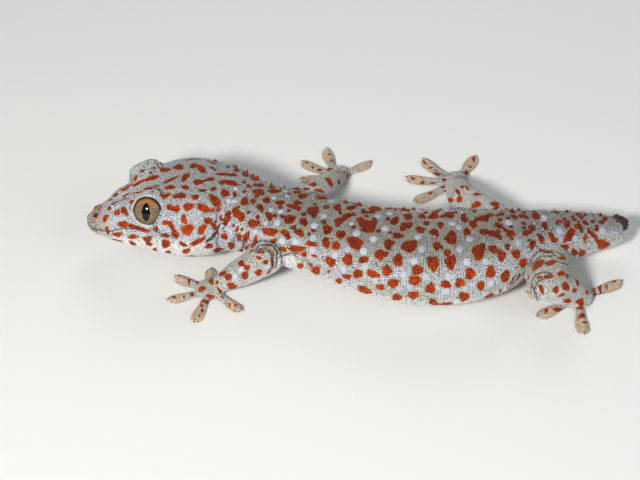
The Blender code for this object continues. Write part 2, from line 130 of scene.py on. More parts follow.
LIMBS = {
    "foreleg_left": {
        "joints": ((-34, -8, 9.5), (-30.2, -21.4, 12.8), (-46.8, -24.4, 3.6)),
        "radii": (6.0, 5.9, 5.6, 5.0, 3.2),
    },
    "foreleg_right": {
        "joints": ((-34, 4, 9.5), (-15, 11, 11.8), (-7.6, 31.0, 3.8)),
        "radii": (5.8, 5.5, 5.2, 4.8, 3.2),
    },
    "hindleg_left": {
        "joints": ((64, -16, 9.5), (62.8, -35.4, 14.4), (74.2, -29.2, 4.0)),
        "radii": (7.4, 7.3, 6.9, 5.4, 3.5),
    },
    "hindleg_right": {
        "joints": ((60, -10, 8.5), (37.5, 9.0, 11.4), (35.1, 27.0, 4.0)),
        "radii": (6.8, 6.4, 6.0, 5.0, 3.5),
    },
}
FEET = {
    "foreleg_left": {
        "palm": (-49.7, -24.6),
        "angles": (92, 151, 197, 253, 320),
        "lengths": (10.6, 14.0, 14.4, 15.2, 14.2),
    },
    "foreleg_right": {
        "palm": (-7.6, 34.4),
        "angles": (250, 184, 145, 103, 34),
        "lengths": (10.6, 12.4, 15.0, 16.2, 15.0),
    },
    "hindleg_left": {
        "palm": (74.1, -28.2),
        "angles": (128, 170, 211, 273, 388),
        "lengths": (15.4, 16.8, 16.0, 16.2, 17.4),
    },
    "hindleg_right": {
        "palm": (35.3, 30.5),
        "angles": (211, 168, 129, 63, 316),
        "lengths": (17.0, 17.6, 17.6, 17.2, 16.4),
    },
}
PALM_SIZE = {"foreleg": (5.0, 4.6, 3.6), "hindleg": (5.4, 5.0, 4.0)}
PALM_MIDDLE = 1.4
SOLE_HEIGHT = 0.06
TOE_WIDTH = {"foreleg": 2.65, "hindleg": 2.9}
# A toe as (share of its length, half-width share, ridge height, pad thickness).
TOE_SECTIONS = (
    (0.16, 0.56, 2.5, 1.3),
    (0.36, 0.56, 2.3, 1.1),
    (0.52, 0.72, 2.1, 0.9),
    (0.68, 0.94, 2.0, 0.8),
    (0.82, 1.00, 1.9, 0.8),
    (0.93, 0.86, 1.9, 0.8),
    (1.00, 0.50, 1.9, 0.7),
)


# %% [markdown]
# The body is a row of cross-sections read along a smooth curve. A point of its surface has two
# addresses: how far it lies behind the snout, and its angle round the body from the top of the
# back. Every later step places things by those two numbers.

# %% The body's surface
UP = np.array((0.0, 0.0, 1.0))


def smoothstep(low, high, value):
    t = np.clip((value - low) / (high - low), 0.0, 1.0)
    return t * t * (3 - 2 * t)


def bell(value, middle, width):
    """1 where a value is at the middle, fading evenly to both sides."""
    return np.exp(-(((value - middle) / width) ** 2))


def read_curve(places, values, at):
    """Rows of values read at many places along a smooth curve through them."""
    at = np.atleast_1d(np.asarray(at, float))
    slopes = np.gradient(values, places, axis=0)
    i = np.clip(np.searchsorted(places, at) - 1, 0, len(places) - 2)
    step = (places[i + 1] - places[i])[:, None]
    t = (at - places[i])[:, None] / step
    return (
        (2 * t**3 - 3 * t**2 + 1) * values[i]
        + (t**3 - 2 * t**2 + t) * step * slopes[i]
        + (3 * t**2 - 2 * t**3) * values[i + 1]
        + (t**3 - t**2) * step * slopes[i + 1]
    )


STATIONS = np.array(SECTIONS, float) + np.array((*CENTRING, 0.0, 0.0, 0.0))


def travelled_along(points):
    """How far along a line of points each of them lies."""
    steps = np.linalg.norm(np.diff(points, axis=0), axis=1)
    return np.concatenate(([0.0], np.cumsum(steps)))


ALONG = travelled_along(STATIONS[:, :2])
BODY_LENGTH = float(ALONG[-1])


def body_frames(along):
    """Origins, backward, right and up directions of the cross-sections behind the snout."""
    along = np.atleast_1d(np.asarray(along, float))
    origin = read_curve(ALONG, STATIONS, along)[:, :3]
    ahead, behind = (read_curve(ALONG, STATIONS, along + step)[:, :2] for step in (-0.5, 0.5))
    back = behind - ahead
    back = np.column_stack((back / np.linalg.norm(back, axis=1)[:, None], np.zeros(len(along))))
    flat_right = np.column_stack((-back[:, 1], back[:, 0], np.zeros(len(along))))
    roll = (HEAD_ROLL * (1 - smoothstep(HEAD_END - 6, NECK_END + 12, along)))[:, None]
    up = UP * np.cos(roll) + flat_right * np.sin(roll)
    right = flat_right * np.cos(roll) - UP * np.sin(roll)
    return origin, back, right, up


def body_points(along, angle, grow=0.0):
    """Points of the body's surface; the angle runs from the top of the back to the right side."""
    along = np.atleast_1d(np.asarray(along, float))
    origin, _, right, up = body_frames(along)
    half_width, rise, drop = read_curve(ALONG, STATIONS, along)[:, 3:].T
    share = smoothstep(HEAD_END - 8, NECK_END, along)
    power = 2 / (HEAD_SQUARENESS * (1 - share) + TRUNK_SQUARENESS * share)
    cosine, sine = np.cos(angle), np.sin(angle)
    height = np.where(cosine > 0, rise, drop) + grow
    across = (half_width + grow) * np.sign(sine) * np.abs(sine) ** power
    above = height * np.sign(cosine) * np.abs(cosine) ** power
    return origin + right * across[:, None] + up * above[:, None]


def on_head(behind, side, above):
    """A point in the head's own frame; side is positive to the animal's left."""
    origin, _, right, up = (rows[0] for rows in body_frames(behind))
    return origin - right * side + up * above


print("body:", round(BODY_LENGTH, 1), "mm along its axis")

# %% [markdown]
# The photograph looks at the animal from its left side and well above it. The camera comes
# first, because some markings are placed where the photograph shows them: a pixel's sight line
# is followed until it meets the skin, and the mark then belongs to that place on the skin.

# %% Camera
LOOK_AT = np.array((0.15, -2.9, 10.0))
LOOK_AT_PIXEL = (357.0, 222.0)
PHOTO_SIZE = (640, 480)
CAMERA_RISE = math.radians(42.0)
CAMERA_DISTANCE = 650.0
FOCAL_PIXELS = 1884.0
SENSOR_WIDTH = 36.0
CLIP_START, CLIP_END = 0.01, 10.0

toward_camera = np.array((0.0, -math.cos(CAMERA_RISE), math.sin(CAMERA_RISE)))
camera_place = Vector(LOOK_AT + toward_camera * CAMERA_DISTANCE)
aimed = (Vector(LOOK_AT) - camera_place).to_track_quat("-Z", "Y")


def pixel_direction(u, v):
    """The direction of a pixel of the photograph in the camera's own frame."""
    across = (u - PHOTO_SIZE[0] / 2) / FOCAL_PIXELS
    above = (PHOTO_SIZE[1] / 2 - v) / FOCAL_PIXELS
    return Vector((across, above, -1.0))


seen_at = pixel_direction(*LOOK_AT_PIXEL)
camera_turn = aimed @ seen_at.rotation_difference(Vector((0, 0, -1)))
camera = bpy.data.objects.new("camera", bpy.data.cameras.new("camera"))
bpy.context.scene.collection.objects.link(camera)
camera.location = camera_place * MM
camera.rotation_mode = "QUATERNION"
camera.rotation_quaternion = camera_turn
camera.data.sensor_width = SENSOR_WIDTH
camera.data.lens = FOCAL_PIXELS / PHOTO_SIZE[0] * SENSOR_WIDTH
camera.data.clip_start = CLIP_START
camera.data.clip_end = CLIP_END
bpy.context.scene.camera = camera


def sight_line(u, v):
    """The direction from the camera through a pixel of the photograph."""
    return (camera_turn @ pixel_direction(u, v)).normalized()


print("camera: lens", round(camera.data.lens, 1), "mm")

# %% [markdown]
# A few helpers make meshes from numpy points, so that each later cell only says what is special
# about its piece.

# %% Mesh helpers
def mesh_of(name, points, faces):
    """A mesh from points in millimetres."""
    mesh = bpy.data.meshes.new(name)
    faces = [list(map(int, face)) for face in faces]
    mesh.from_pydata((np.asarray(points) * MM).tolist(), [], faces)
    mesh.update()
    return mesh


def new_piece(name, mesh, *surfaces):
    piece = bpy.data.objects.new(name, mesh)
    bpy.context.scene.collection.objects.link(piece)
    for surface in surfaces:
        mesh.materials.append(surface)
    return piece


def tube_faces(rings, sides):
    """Faces of a closed tube of rings, with a flat face at each end."""
    faces = []
    for ring in range(rings - 1):
        for i in range(sides):
            j = (i + 1) % sides
            low, high = ring * sides, (ring + 1) * sides
            faces.append((low + i, low + j, high + j, high + i))
    faces.append(tuple(range(sides))[::-1])
    faces.append(tuple((rings - 1) * sides + i for i in range(sides)))
    return faces


def outward(mesh):
    """Turns every face of a closed mesh outwards."""
    shell = bmesh.new()
    shell.from_mesh(mesh)
    bmesh.ops.recalc_face_normals(shell, faces=shell.faces)
    shell.to_mesh(mesh)
    shell.free()


def tube_mesh(name, rings):
    """A closed mesh through rings of points that all have the same count."""
    rings = np.asarray(rings)
    mesh = mesh_of(name, rings.reshape(-1, 3), tube_faces(rings.shape[0], rings.shape[1]))
    outward(mesh)
    return mesh


def ball_mesh(name, middle, size, turn=None, segments=32, rings=20):
    """An ellipsoid; turn is a 3 by 3 matrix."""
    shell = bmesh.new()
    bmesh.ops.create_uvsphere(shell, u_segments=segments, v_segments=rings, radius=1.0)
    placed = Matrix.Translation(Vector(middle) * MM)
    if turn is not None:
        placed = placed @ Matrix(turn.tolist()).to_4x4()
    placed = placed @ Matrix.Diagonal((*[s * MM for s in size], 1.0))
    bmesh.ops.transform(shell, matrix=placed, verts=shell.verts)
    mesh = bpy.data.meshes.new(name)
    shell.to_mesh(mesh)
    shell.free()
    return mesh


def shade_smooth(mesh):
    mesh.polygons.foreach_set("use_smooth", [True] * len(mesh.polygons))


def unit(rows):
    rows = np.asarray(rows, float)
    return rows / np.maximum(np.linalg.norm(rows, axis=-1, keepdims=True), 1e-12)


def spokes(axis):
    """Two directions square to an axis and to each other."""
    first = unit(np.cross(axis, UP))
    return first, np.cross(axis, first)


def sideways(ahead):
    """The level direction square to another level direction."""
    return np.array((-ahead[1], ahead[0], 0.0))


print("helpers ready")

# %% [markdown]
# The flesh is first made of plain closed forms that overlap: the body, the brows over the eyes,
# two tapered lengths for each limb, a low dome for each palm, and twenty toes with wide pads.
# They are the solids' own forms, drawn in by the depth of the coat and with many more rings.

# %% Flesh
BODY_RINGS = 300
BODY_SIDES = 96
STUMP_BEYOND = 3.6
EYE_BEHIND, EYE_SIDE, EYE_ABOVE = 22.4, 8.4, 7.0
EYE_RADIUS = 5.8
BROW_SIZE = np.array((6.6, 6.4, 6.5))
EYE_LIFT = math.radians(18.0)
EYE_FORWARD = math.radians(14.0)
HALVES = np.array((0.0, 0.5, 1.0))
SPINDLE_SIDES = 32


def head_turn():
    """The head's frame as a matrix: its columns are back, right and up."""
    _, back, right, up = (rows[0] for rows in body_frames(EYE_BEHIND))
    return np.column_stack((back, right, up))


def eye_middle(side):
    return on_head(EYE_BEHIND, EYE_SIDE * side, EYE_ABOVE)


def eye_axis(side):
    """The way an eye looks: outward, a little up and forward."""
    _, back, right, up = (rows[0] for rows in body_frames(EYE_BEHIND))
    out = -right * side * math.cos(EYE_FORWARD) - back * math.sin(EYE_FORWARD)
    return unit(out * math.cos(EYE_LIFT) + up * math.sin(EYE_LIFT))


def limb_joints(limb):
    return [np.array(joint, float) + CENTRING for joint in LIMBS[limb]["joints"]]


def limb_kind(limb):
    return limb.split("_")[0]


def palm_place(limb, height=0.0):
    return np.array((*FEET[limb]["palm"], height)) + CENTRING


def spindle_mesh(name, start, end, radii):
    """A straight tapered length with round ends."""
    axis = Vector(end - start)
    length = axis.length
    turn = np.array(axis.to_track_quat("Z", "Y").to_matrix())
    bends = np.linspace(0.05, math.pi / 2, 9)
    profile = [(-radii[0] * math.cos(a), radii[0] * math.sin(a)) for a in bends[:-1]]
    for share in np.linspace(0, 1, 13):
        radius = read_curve(HALVES, np.array(radii, float)[:, None], share)[0, 0]
        profile.append((length * share, float(radius)))
    profile += [(length + radii[2] * math.cos(a), radii[2] * math.sin(a)) for a in bends[-2::-1]]
    angles = np.linspace(0, 2 * math.pi, SPINDLE_SIDES, endpoint=False)
    circle = np.column_stack((np.cos(angles), np.sin(angles)))
    rings = []
    for height, radius in profile:
        ring = np.column_stack((radius * circle, np.full(SPINDLE_SIDES, height)))
        rings.append(start + ring @ turn.T)
    return tube_mesh(name, rings)


def toe_line(limb, number):
    """Root, direction, length and full half-width of a toe."""
    foot = FEET[limb]
    turn = math.radians(foot["angles"][number])
    ahead = np.array((math.cos(turn), math.sin(turn), 0.0))
    return palm_place(limb), ahead, foot["lengths"][number], TOE_WIDTH[limb_kind(limb)]


def toe_mesh(name, limb, number):
    """A toe: slender at its root, with a wide thin pad and a rounded ridge along its top."""
    root, ahead, length, width = toe_line(limb, number)
    across = sideways(ahead)
    table = np.array(TOE_SECTIONS)
    rings = []
    turns = np.linspace(0, math.pi, 15)
    for share in np.concatenate((np.linspace(-0.1, 0.96, 24), (0.985, 1.0))):
        half, ridge, thickness = read_curve(table[:, 0], table[:, 1:], max(share, 0.16))[0]
        half = half * width - COAT_DEPTH / 2
        sides = np.cos(turns) * half
        top = thickness * np.sin(turns) ** 0.6 + (ridge - thickness) * bell(sides, 0, 0.42 * width)
        under = np.column_stack((sides[-2:0:-1] * 0.94, np.full(13, SOLE_HEIGHT)))
        over = np.column_stack((sides, np.maximum(top - COAT_DEPTH / 2, 0.12)))
        outline = np.vstack((over, under))
        middle = root + ahead * share * length
        rings.append(middle + outline[:, :1] * across + outline[:, 1:] * UP)
    return tube_mesh(name, rings)


def palm_mesh(name, limb):
    size = np.array(PALM_SIZE[limb_kind(limb)]) - COAT_DEPTH
    mesh = ball_mesh(name, palm_place(limb, PALM_MIDDLE), size)
    for vert in mesh.vertices:
        vert.co.z = max(vert.co.z, SOLE_HEIGHT * MM)
    return mesh


def flesh_forms():
    """Every closed form that the skin wraps, as meshes."""
    along = np.repeat(np.linspace(0.0, STUMP_END + STUMP_BEYOND, BODY_RINGS), BODY_SIDES)
    angle = np.tile(np.linspace(0, 2 * math.pi, BODY_SIDES, endpoint=False), BODY_RINGS)
    rings = body_points(along, angle, -COAT_DEPTH).reshape(BODY_RINGS, BODY_SIDES, 3)
    forms = [tube_mesh("body_form", rings)]
    forms.append(ball_mesh("snout_form", on_head(1.2, 0, 0.2), (1.9, 3.4, 2.9), head_turn()))
    for side in (1, -1):
        forms.append(ball_mesh("brow_form", eye_middle(side), BROW_SIZE - COAT_DEPTH, head_turn()))
    for limb, sizes in LIMBS.items():
        shoulder, elbow, wrist = limb_joints(limb)
        radii = np.array(sizes["radii"]) - COAT_DEPTH
        forms.append(spindle_mesh("upper_form", shoulder, elbow, radii[0:3]))
        forms.append(spindle_mesh("lower_form", elbow, wrist, radii[2:5]))
        forms.append(palm_mesh("palm_form", limb))
        forms += [toe_mesh("toe_form", limb, number) for number in range(5)]
    return forms


def joined(forms):
    """One mesh that holds all the forms, still overlapping."""
    shell = bmesh.new()
    for form in forms:
        shell.from_mesh(form)
        bpy.data.meshes.remove(form)
    mesh = bpy.data.meshes.new("flesh")
    shell.to_mesh(mesh)
    shell.free()
    return mesh


flesh = new_piece("flesh", joined(flesh_forms()))
print("flesh forms:", len(flesh.data.polygons), "faces")

# %% [markdown]
# A voxel remesh melts the overlapping forms into one closed skin with even faces, so that no
# seam is left where a leg meets the body. It is then smoothed a little everywhere, and far more
# where a limb, a brow or a palm runs into its neighbour, because real skin bridges such corners.

# %% One skin
SKIN_VOXEL = 0.38


def keep_result(piece):
    """Makes what a piece's modifiers show its own mesh, and removes them."""
    bpy.context.view_layer.update()
    shown = piece.evaluated_get(bpy.context.evaluated_depsgraph_get())
    result, old = bpy.data.meshes.new_from_object(shown), piece.data
    piece.modifiers.clear()
    piece.data = result
    bpy.data.meshes.remove(old)
    return result


def with_modifier(piece, kind, **settings):
    """Adds a modifier, keeps its result as the piece's mesh, and removes it."""
    modifier = piece.modifiers.new("shaping", kind)
    for key, value in settings.items():
        setattr(modifier, key, value)
    keep_result(piece)


def rows_of(items, name, width, kind=np.float32):
    """One property of many mesh elements as rows of numbers."""
    flat = np.zeros(len(items) * width, kind)
    items.foreach_get(name, flat)
    return flat.reshape(-1, width)


def points_of(mesh):
    """A mesh's points as rows in millimetres."""
    return rows_of(mesh.vertices, "co", 3).astype(float) / MM


def move_points(mesh, points):
    mesh.vertices.foreach_set("co", (points * MM).astype(np.float32).ravel())
    mesh.update()


def normals_of(mesh):
    return rows_of(mesh.vertices, "normal", 3).astype(float)


def smoothed(points, edges, rounds, weight):
    """Points drawn towards the middle of their neighbours, as far as each point's weight says."""
    count = len(points)
    first, second = edges[:, 0], edges[:, 1]
    ties = np.bincount(first, minlength=count) + np.bincount(second, minlength=count)
    ties = np.maximum(ties, 1)[:, None]
    for _ in range(rounds):
        pulled = np.empty_like(points)
        for axis in range(3):
            pulled[:, axis] = np.bincount(first, points[second, axis], count)
            pulled[:, axis] += np.bincount(second, points[first, axis], count)
        points = points + (pulled / ties - points) * weight[:, None]
    return points


with_modifier(flesh, "REMESH", mode="VOXEL", voxel_size=SKIN_VOXEL * MM, adaptivity=0.0)
skin_points = points_of(flesh.data)
skin_edges = rows_of(flesh.data.edges, "vertices", 2, np.int32)
print("skin after remesh:", len(skin_points), "points")

# %% [markdown]
# A second, stronger smoothing works only near the shoulders, hips, elbows, knees, wrists and
# brows. The snout is then drawn in to the blunt shape of the photograph.

# %% Blending the joins
JOIN_RADIUS = {"foreleg": 10.0, "hindleg": 12.0}


def near(points, middle, radius):
    """1 at a place, fading to 0 at a radius from it."""
    return 1 - smoothstep(0.45, 1.0, np.linalg.norm(points - middle, axis=1) / radius)


SNOUT_DRAWN_IN, SNOUT_LIFT, CHIN_SHARE = 1.3, 1.9, 0.22
TIP_REACH, CHIN_REACH = (0.0, 14.0), (2.0, 20.0)
CREST_RISE, CREST_FALL = (2.0, 11.0), (22.0, 34.0)


def blunted(points):
    """Points of the head with the snout drawn in to the blunter shape of the photograph."""
    points = np.array(points, float)
    behind = points[:, 0] - STATIONS[0, 0]
    tip = 1 - smoothstep(*TIP_REACH, behind)
    chin = CHIN_SHARE * (1 - smoothstep(*CHIN_REACH, behind))
    crest = smoothstep(*CREST_RISE, behind) * (1 - smoothstep(*CREST_FALL, behind))
    axis_height = STATIONS[0, 2]
    below = np.maximum(axis_height - points[:, 2], 0.0)
    above = smoothstep(axis_height, axis_height + 3, points[:, 2])
    points[:, 0] += SNOUT_DRAWN_IN * tip
    points[:, 2] += chin * below + SNOUT_LIFT * crest * above
    return points


bridging = np.zeros(len(skin_points))
joins = [(eye_middle(side), 12.0, 0.9) for side in (1, -1)]
for limb in LIMBS:
    shoulder, elbow, wrist = limb_joints(limb)
    reach = JOIN_RADIUS[limb_kind(limb)]
    joins.append((shoulder * 0.45 + elbow * 0.55, reach, 1.0))
    joins += [(elbow, reach * 0.7, 0.8), (wrist, 5.0, 0.5)]
for place, reach, share in joins:
    bridging = np.maximum(bridging, share * near(skin_points, place, reach))
skin_points = smoothed(skin_points, skin_edges, 50, 0.5 * bridging)
skin_points = smoothed(skin_points, skin_edges, 4, np.full(len(skin_points), 0.5))
skin_points = blunted(skin_points)
move_points(flesh.data, skin_points)
print("joins blended")

# %% [markdown]
# The eyes, mouth, ears, nostrils and the folds of loose skin are pressed into the even skin by
# moving its points, each along its own outward direction. A fold that shows in the photograph
# is drawn as a few pixels of the photograph and followed onto the skin.

# %% Finding places on the skin
skin_faces = rows_of(flesh.data.polygons, "vertices", 4, np.int32)


def search_tree(points):
    return BVHTree.FromPolygons(points.tolist(), skin_faces.tolist())


plain_tree = search_tree(skin_points)


def place_of_pixel(tree, u, v, tries=12, nudge=0.5):
    """Where a pixel's sight line meets the skin, looking lower if it passes above the animal."""
    for step in range(tries):
        place, normal, _, _ = tree.ray_cast(camera_place, sight_line(u, v + step * nudge))
        if place is not None:
            return np.array(place), np.array(normal)
    return None, None


def axis_address(points):
    """How far behind the snout points lie along the body's axis, and their angle round it."""
    samples = np.arange(0.0, BODY_LENGTH, 0.5)
    origin, back, right, up = body_frames(samples)
    near_row = np.empty(len(points), int)
    for start in range(0, len(points), 20000):
        part = points[start : start + 20000, None, :2] - origin[None, :, :2]
        near_row[start : start + 20000] = np.argmin((part**2).sum(axis=2), axis=1)
    offset = points - origin[near_row]
    along = samples[near_row] + (offset * back[near_row]).sum(axis=1)
    side = (offset * right[near_row]).sum(axis=1)
    above = (offset * up[near_row]).sum(axis=1)
    return np.clip(along, 0.0, BODY_LENGTH), np.arctan2(side, above)


def mirrored(points):
    """The same places on the other side of the body."""
    points = np.atleast_2d(points)
    along, _ = axis_address(points)
    origin, _, right, _ = body_frames(along)
    return points - 2 * ((points - origin) * right).sum(axis=1)[:, None] * right


def distance_to_line(points, line):
    """How far points lie from a line of straight stretches."""
    best = np.full(len(points), 1e9)
    for first, second in zip(line[:-1], line[1:]):
        stretch = second - first
        share = np.clip((points - first) @ stretch / max(stretch @ stretch, 1e-9), 0, 1)
        best = np.minimum(best, np.linalg.norm(points - first - share[:, None] * stretch, axis=1))
    return best


print("search tree ready")

# %% Eye sockets, mouth, ears and nostrils
EYE_OPENING = 5.1
EYE_OPENING_TURN = math.asin(EYE_OPENING / EYE_RADIUS)
SOCKET_FLOOR = 4.9
LID_RISE = 0.55
MOUTH_LINE = ((0.2, 0.2), (4.0, 0.2), (8.0, 0.0), (15.0, 0.8), (22.0, 0.6), (29.5, 0.9))
MOUTH_DEPTH, MOUTH_WIDTH = 0.5, 0.32
LIP_SWELL = 0.28
EAR_ENDS = ((208.6, 240.5), (222.0, 224.5))
EAR_HALF_LENGTH, EAR_HALF_WIDTH, EAR_DEPTH = 4.2, 1.1, 2.3
EAR_REACH = 4.0
NOSTRIL_PIXEL = (96.3, 215.6)
NOSTRIL_RADIUS = 0.95


def mouth_height(along):
    """How high the mouth's line lies over the head's axis."""
    places, heights = zip(*MOUTH_LINE)
    return np.interp(along, places, heights)


def on_lip(along, side):
    """The point of the head's surface on the mouth's line."""
    half_width, rise, _ = read_curve(ALONG, STATIONS, along)[0, 3:]
    height = mouth_height(along)
    share = (1 - min(height / rise, 1.0) ** HEAD_SQUARENESS) ** (1 / HEAD_SQUARENESS)
    return on_head(along, side * half_width * share, height)


def mouth_route():
    """The mouth's line from one corner round the snout to the other."""
    places = np.linspace(29.5, 0.4, 40)
    left = [on_lip(along, 1) for along in places]
    right = [on_lip(along, -1) for along in places[::-1]]
    front = [on_head(-0.5, 1.2, 0.2), on_head(-0.7, 0.0, 0.2), on_head(-0.5, -1.2, 0.2)]
    return blunted(left + front + right)


def on_both_sides(places, side):
    """Places of the left side, or the same places of the right side, with the skin's direction."""
    places = np.array(places) if side > 0 else mirrored(np.array(places))
    found = [plain_tree.find_nearest(Vector(place))[:2] for place in places]
    return np.array([place for place, _ in found]), np.array([normal for _, normal in found])


def ear_frame(side):
    """Middle, long direction, short direction and outward direction of an ear's slit."""
    low, high = (place_of_pixel(plain_tree, *pixel)[0] for pixel in EAR_ENDS)
    places, normals = on_both_sides((low, (low + high) / 2, high), side)
    long = unit(places[2] - places[0])
    long = unit(long - normals[1] * (long @ normals[1]))
    return places[1], long, np.cross(normals[1], long), normals[1]


def ear_spread(points, side):
    """1 at the rim of an ear's slit and less inside it."""
    middle, long, short, out = ear_frame(side)
    offset = points - middle
    spread = np.hypot(offset @ long / EAR_HALF_LENGTH, offset @ short / EAR_HALF_WIDTH)
    return np.where(np.abs(offset @ out) < EAR_REACH, spread, 9.0)


def nostril_place(side):
    places, normals = on_both_sides([place_of_pixel(plain_tree, *NOSTRIL_PIXEL)[0]], side)
    return places[0], normals[0]


lip_line = mouth_route()
lip_distance = distance_to_line(skin_points, lip_line)
head_part = skin_points[:, 0] < on_head(HEAD_END + 4, 0, 0)[0]
skin_normals = normals_of(flesh.data)
pressed = np.zeros(len(skin_points))
pressed -= MOUTH_DEPTH * bell(lip_distance, 0, MOUTH_WIDTH)
pressed += LIP_SWELL * bell(lip_distance, 0.95, 0.55)
for side in (1, -1):
    spread = ear_spread(skin_points, side)
    pressed -= EAR_DEPTH * (1 - smoothstep(0.35, 1.05, spread))
    pressed += 0.35 * bell(spread, 1.3, 0.3)
    place, _ = nostril_place(side)
    apart = np.linalg.norm(skin_points - place, axis=1)
    pressed -= 0.95 * (1 - smoothstep(0.3, 1.0, apart / NOSTRIL_RADIUS))
    pressed += 0.28 * bell(apart, 1.15, 0.45)
skin_points = skin_points + skin_normals * np.where(head_part, pressed, 0.0)[:, None]

for side in (1, -1):
    middle, axis = eye_middle(side), eye_axis(side)
    offset = skin_points - middle
    far = np.linalg.norm(offset, axis=1)
    turn = np.arccos(np.clip(offset @ axis / np.maximum(far, 1e-6), -1, 1))
    opening = EYE_OPENING_TURN
    floor_share = smoothstep(opening - 0.02, opening + 0.1, turn)
    rim = LID_RISE * bell(turn - opening, 0.17, 0.11)
    lifted = SOCKET_FLOOR + (far - SOCKET_FLOOR) * floor_share + rim
    in_reach = (far < 9.0) & (turn < opening + 0.6)
    new_far = np.where(in_reach, lifted, far)
    skin_points = middle + offset * (new_far / np.maximum(far, 1e-6))[:, None]
print("head pressed; deepest", round(float(pressed.min()), 2), "mm")

# %% [markdown]
# Loose skin folds round the roots of the legs and behind the head. Those that the photograph
# shows are drawn as short lines of its pixels; on the sides that it doesn't show, each limb
# gets the same kind of rings round its joint, and the neck's folds are mirrored.

# %% Folds of loose skin
# Each fold: pixels of the photograph that it runs through, its depth and its half-width in mm.
FOLDS = (
    (((113.5, 203.5), (128, 198.5), (140, 194.5), (150, 192), (161, 190.8)), 0.5, 0.45),
    (((139, 236.5), (148, 236.6), (158, 235.2)), 0.12, 0.35),
    (((252, 252), (262, 245), (272, 244.5), (277, 252), (276, 266)), 0.30, 0.5),
    (((256, 250), (266, 248.5), (272, 254), (273, 266), (268, 273)), 0.34, 0.5),
    (((250, 245), (262, 240.5), (274, 243), (280, 250), (281, 262)), 0.26, 0.55),
    (((246, 238), (244, 244), (242, 250)), 0.22, 0.5),
    (((237, 232), (234, 241), (233, 249)), 0.2, 0.5),
    (((280, 256), (290, 253.5), (299, 253)), 0.22, 0.5),
    (((531, 263), (536, 254), (544, 250.5), (554, 251), (563, 256)), 0.34, 0.55),
    (((529, 272), (534, 262), (543, 256.5), (552, 257)), 0.3, 0.5),
    (((528, 285), (530, 276), (535, 269), (543, 265.5)), 0.3, 0.5),
    (((532, 294), (531, 283), (536, 275), (544, 272), (552, 274)), 0.3, 0.45),
    (((538, 300), (534, 290), (538, 281), (546, 277)), 0.24, 0.45),
    (((556, 262), (566, 264), (572, 270)), 0.26, 0.45),
    (((509, 288), (514, 281), (520, 276)), 0.26, 0.5),
    (((545, 252), (540, 258), (536, 264)), 0.2, 0.5),
    (((434, 170), (440, 174), (446, 176)), 0.2, 0.45),
)
FOLD_RINGS = {"foreleg": (7.2, 9.0, 10.6), "hindleg": (8.6, 10.6, 12.6)}
FOLD_DEPTH_SHARE = 1.5


def fold_lines():
    """Every fold as a line of points on the skin, with its depth and half-width."""
    lines = []
    for pixels, depth, width in FOLDS:
        corners = np.array(pixels, float)
        steps = np.linspace(0, len(corners) - 1, 5 * len(corners))
        numbers = np.arange(len(corners))
        spread = np.column_stack([np.interp(steps, numbers, corners[:, k]) for k in (0, 1)])
        found = [place_of_pixel(plain_tree, u, v)[0] for u, v in spread]
        line = np.array([place for place in found if place is not None])
        lines.append((line, depth, width))
        if line[:, 0].max() < on_head(NECK_END, 0, 0)[0]:
            lines.append((mirrored(line), depth, width))
    return lines


drawn_folds = fold_lines()
pressed = np.zeros(len(skin_points))
for line, depth, width in drawn_folds:
    depth = depth * FOLD_DEPTH_SHARE
    low, high = line.min(axis=0) - 3, line.max(axis=0) + 3
    inside = np.all((skin_points > low) & (skin_points < high), axis=1)
    apart = distance_to_line(skin_points[inside], line)
    pressed[inside] += -depth * bell(apart, 0, width) + 0.6 * depth * bell(apart, 2 * width, width)
hidden = skin_normals @ toward_camera < 0.15
for limb in LIMBS:
    shoulder, elbow, wrist = limb_joints(limb)
    axis = unit(elbow - shoulder)
    for ring in FOLD_RINGS[limb_kind(limb)]:
        wobble = 0.5 * np.sin(skin_points[:, 0] * 0.7) + 0.4 * np.sin(skin_points[:, 2] * 0.9)
        apart = np.linalg.norm(skin_points - elbow, axis=1) - ring + wobble
        toward_body = smoothstep(-0.1, 0.5, unit(skin_points - elbow) @ -axis)
        close = np.abs(apart) < 2.0
        pressed -= np.where(close & hidden, 0.22 * toward_body * bell(apart, 0, 0.45), 0.0)
skin_points = skin_points + skin_normals * pressed[:, None]
skin_points[:, 2] = np.maximum(skin_points[:, 2], 0.05)
move_points(flesh.data, skin_points)
skin_normals = normals_of(flesh.data)
skin_tree = search_tree(skin_points)
print("folds:", len(FOLDS), "drawn")

# %% [markdown]
# A tokay's markings are its signature: round orange spots on grey along the flanks, longer
# streaks on the crown, small bars on the toes, and pale blue tubercles between them. They are
# marked here one by one on enlarged views of the photograph, each as an ellipse. A view is
# given by its top left pixel and its enlargement; a row says across, down, half-length,
# half-width and tilt in degrees.

